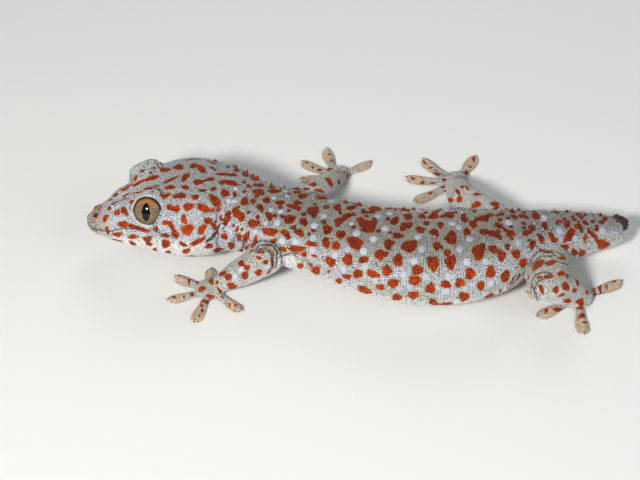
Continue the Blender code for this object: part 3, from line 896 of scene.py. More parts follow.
# %% Markings that the photograph shows
ORANGE_SPOTS = (
    ((60, 120), 7.84, (
        (520, 530, 45, 16, 40), (440, 590, 24, 16, 30), (398, 628, 24, 10, 10),
        (597, 455, 26, 12, 70), (648, 402, 22, 11, 25), (710, 415, 15, 10, -30),
        (738, 378, 16, 7, 0), (620, 497, 55, 13, 30), (725, 458, 65, 18, 18),
        (828, 395, 45, 15, 8), (930, 372, 42, 22, 5), (985, 450, 44, 22, 45),
        (868, 472, 70, 12, 25), (755, 520, 32, 6, 15), (695, 537, 40, 12, 12),
        (610, 568, 50, 7, 12), (515, 597, 28, 9, 28), (435, 646, 24, 6, 22), (862, 530, 42, 17, 8),
        (985, 530, 32, 17, -15), (1115, 555, 34, 12, 5), (1050, 362, 36, 20, 10),
        (1110, 388, 40, 26, -40), (1190, 378, 22, 9, -20), (1190, 335, 48, 9, -25),
        (1040, 312, 75, 7, 10), (1300, 430, 90, 12, -4), (1085, 488, 44, 23, 5),
        (1170, 468, 46, 15, 10), (1330, 495, 74, 21, -12), (822, 600, 42, 18, 12),
        (940, 597, 58, 22, 5), (1060, 605, 33, 21, 5), (1207, 540, 21, 17, 0),
        (1213, 632, 58, 32, -48), (1292, 575, 38, 31, -25), (1370, 585, 25, 18, -60),
        (1478, 520, 25, 14, -20), (862, 685, 32, 25, -30), (912, 697, 32, 30, 20),
        (1007, 680, 43, 29, 10), (1128, 692, 62, 29, -25), (548, 640, 22, 18, 0),
        (508, 716, 42, 22, -50), (450, 725, 28, 24, 50), (390, 693, 20, 15, 60),
        (360, 770, 34, 18, 60), (316, 692, 28, 9, 60), (498, 818, 42, 26, -5),
        (565, 832, 40, 16, -18), (645, 858, 62, 18, -22), (757, 857, 28, 20, 0),
        (372, 862, 34, 14, -60), (452, 893, 38, 18, 0), (573, 912, 36, 18, 5),
        (570, 965, 28, 14, -30), (688, 930, 34, 22, 0), (700, 968, 28, 16, -20),
        (825, 905, 38, 18, 0), (828, 968, 34, 34, 0), (838, 805, 44, 19, 0),
        (882, 842, 42, 18, -58), (905, 895, 34, 26, -50), (972, 778, 40, 23, -75),
        (1000, 857, 50, 40, 25), (1115, 855, 46, 27, 50), (1160, 790, 36, 25, 0),
        (1205, 830, 40, 19, -50), (1310, 770, 55, 27, 75), (1258, 765, 22, 11, -80),
        (1385, 732, 54, 34, -60), (1432, 750, 32, 20, -70), (965, 972, 36, 15, -25),
        (1080, 950, 66, 19, 28), (990, 1025, 32, 18, 20), (1035, 1065, 32, 11, -5),
        (1165, 985, 34, 22, 10), (1235, 1015, 36, 18, 20), (1290, 910, 30, 24, -30),
        (1342, 985, 28, 26, 70), (1405, 920, 30, 16, 80), (1462, 915, 22, 21, 0),
        (1466, 1000, 20, 16, 0), (1530, 950, 38, 20, 75), (1388, 855, 25, 14, 70),
        (745, 1015, 18, 20, 0), (655, 1018, 15, 11, 0), (848, 1032, 25, 13, 0),
        (1420, 1025, 18, 17, 0), (450, 940, 45, 6, -15),
    )),
    ((200, 150), 12.06, (
        (535, 620, 56, 45, 60), (640, 620, 35, 33, 0), (590, 445, 38, 22, 0),
        (730, 430, 45, 25, 0), (710, 510, 80, 38, -10), (860, 450, 42, 28, -10),
        (910, 500, 78, 28, 5), (800, 610, 50, 38, 0), (733, 705, 55, 38, -60),
        (835, 800, 62, 42, -60), (905, 795, 30, 25, 0), (965, 640, 62, 33, 8),
        (1080, 835, 78, 56, 5), (1250, 870, 60, 46, -45), (1365, 740, 80, 62, 10),
        (1165, 515, 50, 28, 0), (1250, 555, 75, 35, 20), (1170, 640, 48, 28, 0),
        (1120, 685, 80, 30, -10), (1190, 710, 32, 35, 0), (1465, 580, 75, 38, -5),
        (1140, 440, 50, 20, 0), (1285, 472, 45, 17, -5), (1440, 492, 65, 20, -15),
        (1525, 950, 46, 52, 0), (1520, 1110, 50, 60, 0), (650, 885, 80, 50, 5),
        (840, 985, 100, 50, -8), (1035, 1010, 68, 38, -40), (1200, 1000, 70, 42, -30),
        (1370, 975, 38, 20, -20), (1350, 1135, 70, 36, -15), (560, 1040, 35, 32, 0),
        (480, 1050, 44, 24, 85), (665, 1100, 62, 24, 80), (880, 1100, 35, 25, 0),
        (545, 275, 40, 20, 0), (672, 320, 34, 20, -40), (640, 350, 50, 20, -35),
        (820, 380, 60, 17, 10), (795, 1150, 60, 10, -5),
    )),
    ((310, 160), 12.06, (
        (395, 465, 45, 14, -5), (435, 522, 40, 13, 0), (515, 438, 45, 28, 10),
        (555, 490, 55, 25, 0), (680, 445, 35, 24, 0), (330, 580, 52, 40, -30),
        (500, 580, 70, 28, 12), (590, 550, 45, 20, -15), (780, 590, 78, 48, 0),
        (665, 635, 60, 21, 0), (955, 590, 52, 26, 0), (990, 532, 45, 16, -5),
        (1060, 552, 42, 22, -15), (1145, 607, 58, 32, 0), (1240, 560, 35, 20, 0),
        (1170, 558, 30, 14, 0), (1180, 690, 60, 38, -20), (1020, 740, 62, 45, 35),
        (1350, 685, 50, 32, -5), (1500, 665, 50, 55, 0), (430, 695, 80, 38, 35),
        (345, 740, 55, 38, 0), (212, 840, 60, 62, 0), (372, 900, 62, 50, 10),
        (200, 1000, 52, 60, 0), (315, 1035, 50, 50, 0), (545, 1000, 100, 76, -30),
        (700, 800, 110, 80, -15), (610, 730, 50, 40, 0), (785, 750, 32, 30, 0),
        (1120, 830, 42, 38, 0), (1195, 790, 52, 40, 20), (1405, 765, 42, 26, 0),
        (1330, 845, 58, 40, -15), (1500, 880, 65, 45, -20), (1055, 915, 65, 36, 0),
        (945, 1020, 68, 50, 90), (1190, 1045, 88, 75, 0), (1250, 1010, 50, 45, 0),
        (1530, 1040, 48, 55, 0), (370, 305, 38, 32, 0), (245, 290, 45, 28, -50),
        (220, 245, 48, 32, -50), (342, 268, 36, 26, 80),
    )),
    ((410, 170), 12.06, (
        (475, 545, 66, 45, -5), (660, 600, 50, 35, -20), (760, 660, 56, 42, -35),
        (865, 590, 95, 36, 8), (965, 550, 45, 26, 0), (1065, 550, 45, 19, 15),
        (1083, 605, 35, 27, 0), (1070, 675, 66, 35, -30), (1150, 730, 42, 23, -45),
        (1210, 770, 56, 46, 0), (685, 750, 50, 46, -30), (890, 750, 60, 38, 0),
        (1010, 778, 100, 38, -20), (500, 820, 86, 68, 90), (372, 672, 46, 34, 70),
        (825, 990, 96, 76, 90), (1000, 955, 58, 46, -30), (1105, 1040, 62, 46, 80),
        (1175, 930, 37, 41, 0), (1275, 1010, 56, 52, 20), (1475, 900, 56, 39, 70),
        (1360, 1120, 62, 46, 70), (450, 1000, 46, 42, 0), (495, 1110, 92, 62, 80),
        (1255, 570, 50, 27, -25), (1385, 570, 60, 23, -20), (1370, 650, 37, 19, -20),
        (1470, 700, 50, 41, -20), (1395, 765, 43, 38, -20), (1310, 485, 40, 20, 0),
        (1210, 497, 40, 14, 5), (1475, 490, 35, 19, 0), (800, 420, 66, 38, 20),
        (1030, 410, 60, 30, 0), (1040, 460, 50, 18, 20), (810, 297, 50, 18, 0),
        (600, 350, 42, 36, 60), (485, 360, 42, 30, -20), (580, 265, 46, 22, -60),
        (630, 205, 28, 20, 0), (430, 255, 30, 14, 60), (660, 492, 36, 20, 0),
        (930, 492, 26, 15, 0), (350, 467, 30, 20, 0),
    )),
    ((510, 170), 12.06, (
        (310, 560, 54, 40, -30), (415, 685, 52, 33, -45), (375, 835, 62, 36, -60),
        (500, 800, 64, 32, -60), (530, 850, 44, 28, 10), (556, 512, 45, 25, -10),
        (680, 502, 38, 28, 0), (800, 498, 35, 20, -20), (830, 547, 46, 25, -20),
        (655, 595, 31, 21, 0), (775, 600, 31, 24, -10), (600, 625, 50, 17, -15),
        (680, 670, 46, 26, -30), (715, 785, 108, 46, 55), (840, 690, 66, 29, -55),
        (905, 640, 46, 25, -30), (960, 745, 42, 33, -70), (1040, 715, 30, 29, 0),
        (905, 825, 56, 23, 80), (1015, 800, 62, 30, -45), (1120, 900, 78, 62, -15),
        (1145, 590, 34, 32, 0), (650, 935, 53, 27, -35), (775, 990, 51, 37, -50),
        (865, 1015, 56, 39, 70), (265, 487, 30, 18, 0),
    )),
    ((230, 235), 12.06, (
        (140, 345, 43, 39, 0), (205, 390, 42, 33, 0), (180, 485, 50, 43, 80),
        (345, 450, 43, 37, 30), (430, 325, 33, 30, 0), (350, 275, 33, 20, -20),
        (370, 205, 52, 20, -5), (205, 625, 46, 25, 20), (490, 190, 40, 9, -25),
        (518, 300, 95, 9, 88), (475, 430, 22, 12, 60), (210, 150, 32, 22, 80),
        (140, 190, 24, 25, 0), (530, 72, 37, 26, 30), (440, 120, 52, 10, 5),
        (640, 172, 52, 28, -20), (800, 165, 112, 40, -3), (895, 230, 37, 30, 0),
        (1015, 245, 41, 20, -35), (1215, 320, 70, 50, -45), (850, 370, 42, 38, 0),
        (1040, 425, 54, 50, 0), (975, 355, 36, 20, -40), (1195, 440, 23, 20, 0),
        (1315, 550, 40, 36, -30), (690, 402, 16, 13, 0), (255, 190, 25, 10, -20),
    )),
    ((340, 245), 12.06, (
        (95, 175, 73, 60, 90), (295, 175, 50, 42, 10), (85, 380, 56, 33, -8),
        (215, 345, 58, 52, 0), (395, 345, 76, 42, -20), (565, 315, 60, 60, 0),
        (480, 120, 68, 60, 90), (700, 180, 76, 60, 85), (1125, 220, 88, 68, 88),
        (930, 300, 66, 60, 0), (905, 425, 68, 56, 0), (640, 460, 62, 56, 10),
        (485, 505, 56, 33, -15), (300, 545, 86, 42, -20), (685, 630, 62, 42, 0),
        (885, 600, 66, 46, 0), (1090, 525, 62, 59, 0), (1275, 475, 62, 49, -10),
        (1445, 455, 56, 52, 10), (1130, 692, 62, 35, -25), (1285, 708, 76, 28, 0),
        (1495, 622, 62, 54, 0),
    )),
    ((450, 245), 12.06, (
        (240, 345, 72, 58, 90), (370, 490, 55, 46, 80), (490, 325, 74, 54, 88),
        (665, 375, 76, 50, 70), (470, 620, 62, 48, 40), (605, 550, 27, 17, 80),
        (745, 430, 85, 11, 55), (1060, 240, 84, 33, 30), (1210, 220, 72, 29, 15),
        (1170, 80, 90, 17, 3), (1345, 165, 48, 20, 0), (1085, 388, 40, 19, 15),
        (1190, 380, 55, 25, 0), (1345, 345, 50, 30, 10), (1410, 378, 27, 26, 0),
        (1105, 535, 64, 25, -70), (1275, 540, 42, 38, 60), (1395, 500, 52, 39, -70),
        (1525, 388, 62, 29, -85), (1495, 545, 30, 25, 60), (1345, 600, 40, 14, 30),
        (945, 400, 72, 10, -80), (995, 500, 62, 10, -75), (820, 380, 40, 10, 60),
    )),
    ((120, 240), 12.06, (
        (1310, 445, 46, 42, 0), (1240, 405, 50, 26, 30), (1355, 560, 58, 36, -5),
        (1530, 572, 55, 26, 12), (1105, 497, 42, 27, 80), (1175, 510, 26, 20, 90),
        (1200, 605, 52, 21, -50), (985, 590, 48, 33, 30), (1095, 682, 52, 28, -15),
        (950, 498, 38, 18, 0), (838, 485, 30, 20, 70), (722, 425, 17, 14, 0),
        (870, 657, 28, 27, 30), (770, 687, 23, 16, 90), (655, 690, 25, 14, 0),
        (1035, 742, 46, 25, -20), (1235, 692, 27, 12, -20), (1235, 762, 41, 14, 20),
        (1325, 780, 27, 14, 80), (1390, 790, 19, 14, 0), (985, 787, 19, 18, 0),
        (990, 850, 26, 18, 80), (955, 915, 20, 12, 60), (1055, 385, 14, 10, 90),
    )),
    ((510, 265), 12.06, (
        (690, 432, 53, 33, -15), (835, 437, 56, 38, 0), (825, 522, 29, 16, 0),
        (875, 612, 39, 28, 0), (900, 692, 25, 15, 0), (435, 552, 30, 22, 80),
        (575, 537, 60, 26, 0), (925, 327, 32, 20, 80), (1010, 267, 38, 18, 85),
        (1085, 262, 36, 18, 80), (1165, 262, 30, 14, -80), (1255, 202, 27, 14, 20),
        (895, 130, 62, 20, -75),
    )),
    ((255, 110), 15.68, (
        (1165, 700, 22, 20, 0), (1205, 797, 36, 15, 0), (815, 827, 29, 15, -20),
        (910, 897, 25, 22, 0), (1015, 942, 46, 23, 0), (1040, 1007, 46, 25, 15),
        (1170, 930, 56, 23, 15), (1295, 977, 23, 20, 0), (1395, 982, 23, 20, 0),
        (1450, 1030, 56, 18, 90), (905, 1167, 66, 36, 0),
    )),
    ((375, 120), 15.68, (
        (780, 667, 46, 21, -50), (870, 752, 50, 16, 8), (970, 852, 60, 30, -20),
        (1090, 937, 56, 24, 0), (595, 917, 46, 21, -30), (745, 990, 41, 36, 60),
        (905, 987, 50, 17, 0), (1060, 1055, 56, 18, 10), (870, 1150, 39, 24, 20),
        (1430, 822, 37, 36, -60), (1490, 730, 37, 15, -35), (1545, 612, 40, 30, 90),
        (1300, 902, 80, 20, 5), (1290, 1122, 60, 24, -50), (1110, 1130, 41, 13, 50),
        (1440, 1062, 50, 20, -50),
    )),
)
# Pale tubercles in the same way: across, down and radius of the pale patch.
PALE_SPOTS = (
    ((200, 150), 12.06, (
        (860, 725, 32), (970, 745, 36), (930, 880, 42), (795, 885, 30), (1380, 915, 44),
        (1365, 1060, 46), (1145, 1105, 42), (990, 1100, 48), (1500, 800, 38), (1030, 500, 38),
        (1055, 560, 30), (985, 425, 42), (1110, 410, 28), (890, 580, 26), (670, 985, 36),
        (415, 620, 34), (170, 790, 36), (350, 620, 34), (130, 985, 34), (430, 470, 30),
    )),
    ((310, 160), 12.06, (
        (60, 790, 44), (40, 935, 44), (165, 680, 42), (260, 500, 44), (245, 385, 34),
        (425, 415, 44), (500, 770, 36), (560, 890, 44), (765, 955, 46), (905, 830, 50),
        (645, 1100, 50), (455, 1080, 42), (300, 1150, 42), (1345, 1080, 46), (820, 680, 44),
        (960, 650, 40), (1310, 615, 34), (1300, 930, 44), (885, 535, 36), (715, 500, 40),
    )),
    ((410, 170), 12.06, (
        (600, 960, 48), (685, 1110, 48), (915, 1105, 46), (50, 1100, 46), (100, 795, 38),
        (510, 650, 46), (590, 695, 44), (715, 835, 44), (1310, 880, 60), (1190, 640, 54),
        (125, 490, 30), (1160, 450, 36), (640, 522, 30), (460, 482, 28),
    )),
    ((510, 170), 12.06, (
        (410, 570, 42), (600, 740, 56), (790, 830, 46), (1120, 740, 60), (410, 610, 36),
        (950, 900, 40),
    )),
    ((230, 235), 12.06, (
        (625, 75, 46), (805, 75, 44), (995, 185, 46), (1000, 40, 40), (1270, 250, 42),
        (1365, 410, 46), (1425, 170, 38), (130, 420, 34), (125, 580, 34), (60, 500, 34),
    )),
    ((340, 245), 12.06, (
        (305, 260, 44), (890, 195, 44), (770, 355, 48), (1035, 385, 44), (1315, 390, 44),
        (845, 520, 44), (425, 430, 40), (490, 590, 36), (1290, 560, 46), (1515, 530, 40),
        (885, 690, 36),
    )),
    ((450, 245), 12.06, (
        (500, 460, 42), (1210, 115, 34), (1290, 390, 24),
    )),
)
spot_counts = [sum(len(rows) for _, _, rows in spots) for spots in (ORANGE_SPOTS, PALE_SPOTS)]
print("markings:", spot_counts[0], "orange,", spot_counts[1], "pale")

# %% [markdown]
# Each drawn ellipse becomes a patch of the skin's tangent plane, so that a spot that the camera
# sees at a slant keeps its true, rounder shape. The sides that the photograph doesn't show get
# the same spots mirrored with a small shift, and then spots of their own wherever none lies near.

# %% From drawn ellipses to patches of skin
MARK_SEED = 20
LONGEST_STRETCH = 2.2
PIXELS_PER_MM = FOCAL_PIXELS / CAMERA_DISTANCE


def patch_from_view(u, v, half_long, half_wide, tilt):
    """Centre, outward direction and a 2 by 3 matrix that takes an offset to the mark's own units."""
    place, normal = place_of_pixel(skin_tree, u, v)
    if place is None:
        return None
    view = np.array(sight_line(u, v))
    right = np.array(camera_turn @ Vector((1, 0, 0)))
    above = np.array(camera_turn @ Vector((0, 1, 0)))
    tilt = math.radians(tilt)
    slant = max(abs(view @ normal), 1 / LONGEST_STRETCH)
    axes = []
    for size, turn in ((half_long, tilt), (half_wide, tilt + math.pi / 2)):
        step = (right * math.cos(turn) + above * math.sin(turn)) * size / PIXELS_PER_MM
        down = (step @ normal) / (slant * np.sign(view @ normal))
        axes.append(step - view * down)
    plane = np.array([axes[0], axes[1]])
    plane = plane - (plane @ normal)[:, None] * normal
    return place, normal, np.linalg.pinv(plane.T)


def round_patch(place, normal, along_dir, half_long, half_wide):
    """A patch of given half-sizes in mm, its long side along a direction."""
    first = unit(along_dir - normal * (along_dir @ normal))
    second = np.cross(normal, first)
    return place, normal, np.array([first / half_long, second / half_wide])


def snapped(points):
    """The nearest places of the skin to points, with the skin's outward directions there."""
    found = [skin_tree.find_nearest(Vector(point))[:2] for point in points]
    return np.array([place for place, _ in found]), np.array([normal for _, normal in found])


draw = np.random.default_rng(MARK_SEED)
orange_patches = []
for corner, enlarged, rows in ORANGE_SPOTS:
    for across, down, half_long, half_wide, tilt in rows:
        patch = patch_from_view(
            corner[0] + across / enlarged, corner[1] + down / enlarged, half_long / enlarged,
            half_wide / enlarged, tilt,
        )
        if patch is not None:
            orange_patches.append(patch)
drawn_count = len(orange_patches)
pale_places = []
for corner, enlarged, rows in PALE_SPOTS:
    for across, down, radius in rows:
        u, v = corner[0] + across / enlarged, corner[1] + down / enlarged
        place, normal = place_of_pixel(skin_tree, u, v)
        if place is not None:
            pale_places.append((place, normal, radius / enlarged / PIXELS_PER_MM))
print("drawn marks on the skin:", drawn_count, "and", len(pale_places))

# %% Marks for the sides that don't show
BODY_GAP, LIMB_GAP = 6.2, 4.4
MIRROR_GAP = (2.2, 3.9)


def on_body_side(place, radius=1.5):
    """Whether a point belongs to the head or trunk, and not to a limb."""
    along, angle = axis_address(place[None])
    surface = body_points(along, angle, 0.0)[0]
    origin = body_frames(along)[0][0]
    return np.linalg.norm(place - origin) < np.linalg.norm(surface - origin) + radius


def mirror_marks():
    """The left side's marks carried to the right side, each shifted and turned a little."""
    kept = []
    for place, normal, matrix in list(orange_patches):
        if not on_body_side(place):
            continue
        along, angle = axis_address(place[None])
        if not -2.7 < angle[0] < -0.82:
            continue
        shift = draw.uniform(-1.2, 1.2, 2)
        guess = body_points(along + shift[0], -angle + shift[1] / 14, 0.0)
        target, target_normal = snapped(guess)
        if target_normal[0] @ toward_camera > 0.05:
            continue
        crowd = MIRROR_GAP[0] if along[0] < HEAD_END else MIRROR_GAP[1]
        if kept and np.linalg.norm(np.array(kept) - target[0], axis=1).min() < crowd:
            continue
        kept.append(target[0])
        _, _, right, _ = body_frames(along)
        flipped = matrix - 2 * np.outer(matrix @ right[0], right[0])
        flipped = flipped * draw.uniform(0.85, 1.2)
        orange_patches.append((target[0], target_normal[0], flipped))
    for place, normal, radius in list(pale_places):
        along, angle = axis_address(place[None])
        if on_body_side(place) and -2.7 < angle[0] < -0.82:
            guess = body_points(along + draw.uniform(-1, 1), -angle, 0.0)
            target, target_normal = snapped(guess)
            pale_places.append((target[0], target_normal[0], radius))


def skin_samples(count):
    """Random places all over the skin, even by area."""
    corners = skin_points[skin_faces]
    diagonals = np.cross(corners[:, 2] - corners[:, 0], corners[:, 3] - corners[:, 1])
    areas = np.linalg.norm(diagonals, axis=1)
    chosen = draw.choice(len(areas), count, p=areas / areas.sum())
    weights = draw.dirichlet(np.ones(4), count)
    places = (corners[chosen] * weights[:, :, None]).sum(axis=1)
    return places, unit(skin_normals[skin_faces[chosen]].sum(axis=1))


def fill_hidden_marks():
    """New spots wherever the camera doesn't look and no mark lies near."""
    centres = [place for place, _, _ in orange_patches]
    places, normals = skin_samples(4000)
    for place, normal in zip(places, normals):
        if normal @ toward_camera > -0.05 or place[2] < 3.5 or normal[2] < -0.75:
            continue
        on_body = on_body_side(place)
        gap = BODY_GAP if on_body else LIMB_GAP
        gap *= draw.uniform(0.85, 1.3)
        if min(np.linalg.norm(np.array(centres) - place, axis=1)) < gap:
            continue
        size = gap * draw.uniform(0.2, 0.3)
        lie = draw.normal(size=3)
        orange_patches.append(round_patch(place, normal, lie, size * draw.uniform(1.0, 1.5), size))
        centres.append(place)


mirror_marks()
fill_hidden_marks()
wobble_phase = draw.uniform(0, 2 * math.pi, (len(orange_patches), 2))
print("marks in all:", len(orange_patches), "orange,", len(pale_places), "pale")


# %% [markdown]
# Skin and scales ask the same functions which mark, tubercle or toe a point belongs to.

# %% Reading the markings at any point
def orange_at(points):
    """How deep inside an orange mark each point lies: 0 outside, 1 well inside."""
    strength = np.zeros(len(points))
    for (place, normal, matrix), (first, second) in zip(orange_patches, wobble_phase):
        reach = 1.75 / np.linalg.norm(matrix, axis=1).min()
        offset = points - place
        inside = np.flatnonzero((np.abs(offset) < reach).all(axis=1))
        if not len(inside):
            continue
        offset = offset[inside]
        flat = offset @ matrix.T
        turn = np.arctan2(flat[:, 1], flat[:, 0])
        spread = np.linalg.norm(flat, axis=1)
        spread = spread * (1 + 0.09 * np.sin(3 * turn + first) + 0.06 * np.sin(5 * turn + second))
        depth = np.abs(offset @ normal) / max(reach, 2.0)
        level = (1 - smoothstep(0.53, 1.5, spread)) * (1 - smoothstep(0.7, 1.0, depth))
        strength[inside] = np.maximum(strength[inside], level)
    return strength


def pale_at(points):
    """1 on a pale tubercle and the scales of its rosette."""
    strength = np.zeros(len(points))
    for place, _, radius in pale_places:
        apart = np.linalg.norm(points - place, axis=1)
        strength = np.maximum(strength, 1 - smoothstep(0.75, 1.25, apart / radius))
    return strength


TOE_LINES = [toe_line(limb, number) for limb in FEET for number in range(5)]


def toe_share(points):
    """How far out along the nearest toe points lie, from 0 at the palm to 1 at the pad's tip."""
    share = np.zeros(len(points))
    for root, ahead, length, width in TOE_LINES:
        offset = points - root
        out = offset @ ahead
        side = np.abs(offset @ sideways(ahead))
        on_toe = (side < width + 0.4) & (out > 0.25 * length) & (out < length + 1.0)
        on_toe &= points[:, 2] < 3.4
        share = np.where(on_toe, np.maximum(share, np.clip(out / length, 0, 1)), share)
    return share


# %% [markdown]
# Where the soft coat of scales is baked to a texture, each scale needs its place on an unwrap of
# the skin: the body rolled open along its axis, each length of a limb rolled open beside it, and
# each foot laid flat as seen from above.

# %% The skin's unwrap
BODY_CHART = {"corner": (0.02, 0.02), "per_mm": 0.0048, "height": 0.52}
LIMB_CHART = {"corner": (0.02, 0.57), "per_mm": 0.0034, "step": 0.12}
FOOT_CHART = {"corner": (0.13, 0.85), "per_mm": 0.0058, "step": 0.235}
FOOT_TOP, TOE_TOP, FOOT_REACH = 4.4, 3.2, 19.5
FIRST_FOOT = 9


def limb_lengths():
    """Each straight length of each limb: start, unit axis, length and three radii."""
    lengths = []
    for limb, sizes in LIMBS.items():
        joints = limb_joints(limb)
        for part in (0, 1):
            start, end = joints[part], joints[part + 1]
            radii = sizes["radii"][2 * part : 2 * part + 3]
            lengths.append((start, unit(end - start), np.linalg.norm(end - start), radii))
    return lengths


LENGTHS = limb_lengths()


def parts_of(points):
    """The part each point belongs to: 0 the body, 1 to 8 a limb's length, 9 to 12 a foot."""
    along, angle = axis_address(points)
    best = np.linalg.norm(points - body_points(along, angle, 0.0), axis=1) - 1.0
    best[along > NECK_END] -= 0.5
    part = np.zeros(len(points), int)
    for number, (start, axis, length, radii) in enumerate(LENGTHS):
        out = np.clip((points - start) @ axis, 0, length)
        off = np.linalg.norm(points - start - out[:, None] * axis, axis=1)
        off = np.abs(off - np.interp(out / length, (0, 0.5, 1), radii))
        closer = off < best
        best = np.where(closer, off, best)
        part = np.where(closer, number + 1, part)
    for number, limb in enumerate(FEET):
        middle = palm_place(limb)
        flat = np.linalg.norm(points[:, :2] - middle[:2], axis=1)
        on_foot = (points[:, 2] < FOOT_TOP) & (flat < FOOT_REACH) & (part != 0)
        on_foot |= (points[:, 2] < TOE_TOP) & (flat < FOOT_REACH)
        part = np.where(on_foot, number + FIRST_FOOT, part)
    return part


def unwrapped(points, part):
    """Where each point lies on the skin's unwrap."""
    along, angle = axis_address(points)
    flat = np.column_stack(
        (
            BODY_CHART["corner"][0] + along * BODY_CHART["per_mm"],
            BODY_CHART["corner"][1] + (angle / (2 * math.pi) + 0.5) * BODY_CHART["height"],
        )
    )
    for number, (start, axis, length, radii) in enumerate(LENGTHS):
        chosen = part == number + 1
        first, second = spokes(axis)
        offset = points[chosen] - start
        turn = np.arctan2(offset @ second, offset @ first) + math.pi
        flat[chosen, 0] = LIMB_CHART["corner"][0] + number * LIMB_CHART["step"]
        flat[chosen, 0] += (np.clip(offset @ axis, -6, length + 6) + 6) * LIMB_CHART["per_mm"]
        flat[chosen, 1] = LIMB_CHART["corner"][1] + turn * radii[1] * LIMB_CHART["per_mm"]
    for number, limb in enumerate(FEET):
        chosen = part == number + FIRST_FOOT
        middle = palm_place(limb)
        spread = (points[chosen] - middle)[:, :2] * FOOT_CHART["per_mm"]
        flat[chosen] = np.array(FOOT_CHART["corner"]) + (number * FOOT_CHART["step"], 0.0) + spread
    return flat


print("unwrap ready:", len(LENGTHS), "limb lengths")

# %% [markdown]
# The scales are set like tiles. On the head and trunk they stand in rings round the body, every
# second ring shifted by half a scale, which gives the fine upright rows of the photograph's
# flank. Limbs and toes have rings and rows of their own. A scale is left out where one already
# lies, and random places then fill whatever is still bare.

# %% Where the scales sit
ROOMINESS = 0.37
RINGS_START = 58.0
LIMB_SPACING, TOE_SPACING = 0.76, 0.56


def cells_round(place, reach):
    """The cells of a coarse grid round a place."""
    middle = [int(math.floor(c)) for c in place]
    return product(*(range(c - reach, c + reach + 1) for c in middle))


class Layout:
    """The scales set so far, with a coarse grid that tells what is already taken."""

    def __init__(self):
        self.rows = []
        self.cells = {}

    def is_free(self, place, spacing):
        for cell in cells_round(place, 1):
            for other, wide in self.cells.get(cell, ()):
                limit = ROOMINESS * (spacing + wide)
                apart = sum((a - b) ** 2 for a, b in zip(place, other))
                if apart < limit * limit:
                    return False
        return True

    def take(self, place, spacing, reach=0):
        for cell in cells_round(place, reach):
            self.cells.setdefault(cell, []).append((tuple(place), spacing))


def spot_tree(spots):
    """A tree that tells how far the nearest of many spots lies."""
    tree = KDTree(len(spots))
    for number, spot in enumerate(spots):
        tree.insert(Vector(spot), number)
    tree.balance()
    return tree


DEEP_FOLD = 0.2
layout = Layout()
lip_spots = [spot for a, b in zip(lip_line[:-1], lip_line[1:]) for spot in (a, (a + b) / 2)]
lip_tree = spot_tree(lip_spots)
deep_folds = [line for line, depth, _ in drawn_folds if depth > DEEP_FOLD]
fold_spots = [spot for line in deep_folds for spot in line]
fold_spots += [(a + b) / 2 for line in deep_folds for a, b in zip(line[:-1], line[1:])]
fold_tree = spot_tree(fold_spots)
eye_spots = [(eye_middle(side), eye_axis(side)) for side in (1, -1)]
ear_spots = [ear_frame(side) for side in (1, -1)]
nostril_spots = [nostril_place(side)[0] for side in (1, -1)]
lid_cosine = math.cos(EYE_OPENING_TURN + 0.16)
head_limit = on_head(HEAD_END + 2, 0, 0)[0]
bud_middle = body_frames(STUMP_END + 2.2)[0][0] + np.array((0.2, 1.3, 1.7))
BUD_SIZE = np.array((3.2, 3.1, 2.9))
LIP_BAND = 1.25
LID_REACH = 6.9
FOLD_STRIP = 0.42


def surface_normal(face):
    return unit(skin_normals[skin_faces[face]].sum(axis=0))


def bare_here(place, normal):
    """Whether a place takes no small scales: an eye, an ear, a nostril, the lips or a sole."""
    if place[2] < 0.75 and normal[2] < 0.2:
        return True
    if np.linalg.norm((place - bud_middle) / BUD_SIZE) < 1.05:
        return True
    # Deep folds are left bare, so that the darker skin with its painted shade shows along them.
    if fold_tree.find(Vector(place))[2] < FOLD_STRIP:
        return True
    if place[0] > head_limit:
        return False
    for middle, axis in eye_spots:
        offset = place - middle
        far = np.linalg.norm(offset)
        if far < LID_REACH and offset @ axis / far > lid_cosine:
            return True
    for middle, long, short, out in ear_spots:
        offset = place - middle
        if abs(offset @ out) < EAR_REACH:
            spread = math.hypot(offset @ long / EAR_HALF_LENGTH, offset @ short / EAR_HALF_WIDTH)
            if spread < 1.0:
                return True
    if any(np.linalg.norm(place - spot) < NOSTRIL_RADIUS + 0.25 for spot in nostril_spots):
        return True
    return lip_tree.find(Vector(place))[2] < LIP_BAND


def body_spacing(along, angle):
    """The distance between scales on the head and trunk."""
    snout = 1 - smoothstep(4.0, 20.0, along)
    under = smoothstep(1.45, 1.85, abs(angle)) * smoothstep(HEAD_END, NECK_END + 6, along)
    neck = smoothstep(HEAD_END - 12, NECK_END, along)
    return 0.72 + 0.14 * snout + 0.12 * neck + 0.3 * under


def set_scale(region, start, aim, lie, spacing, limit, height):
    """Tries to set one scale where the line from start towards aim meets the skin."""
    place, _, face, far = skin_tree.ray_cast(Vector(start), Vector(aim - start))
    if place is None or far > limit:
        return
    place, normal = np.array(place), surface_normal(face)
    if normal @ (aim - start) > 0 or not layout.is_free(place, spacing) or bare_here(place, normal):
        return
    layout.take(place, spacing)
    layout.rows.append((place, normal, lie, spacing, height, region))


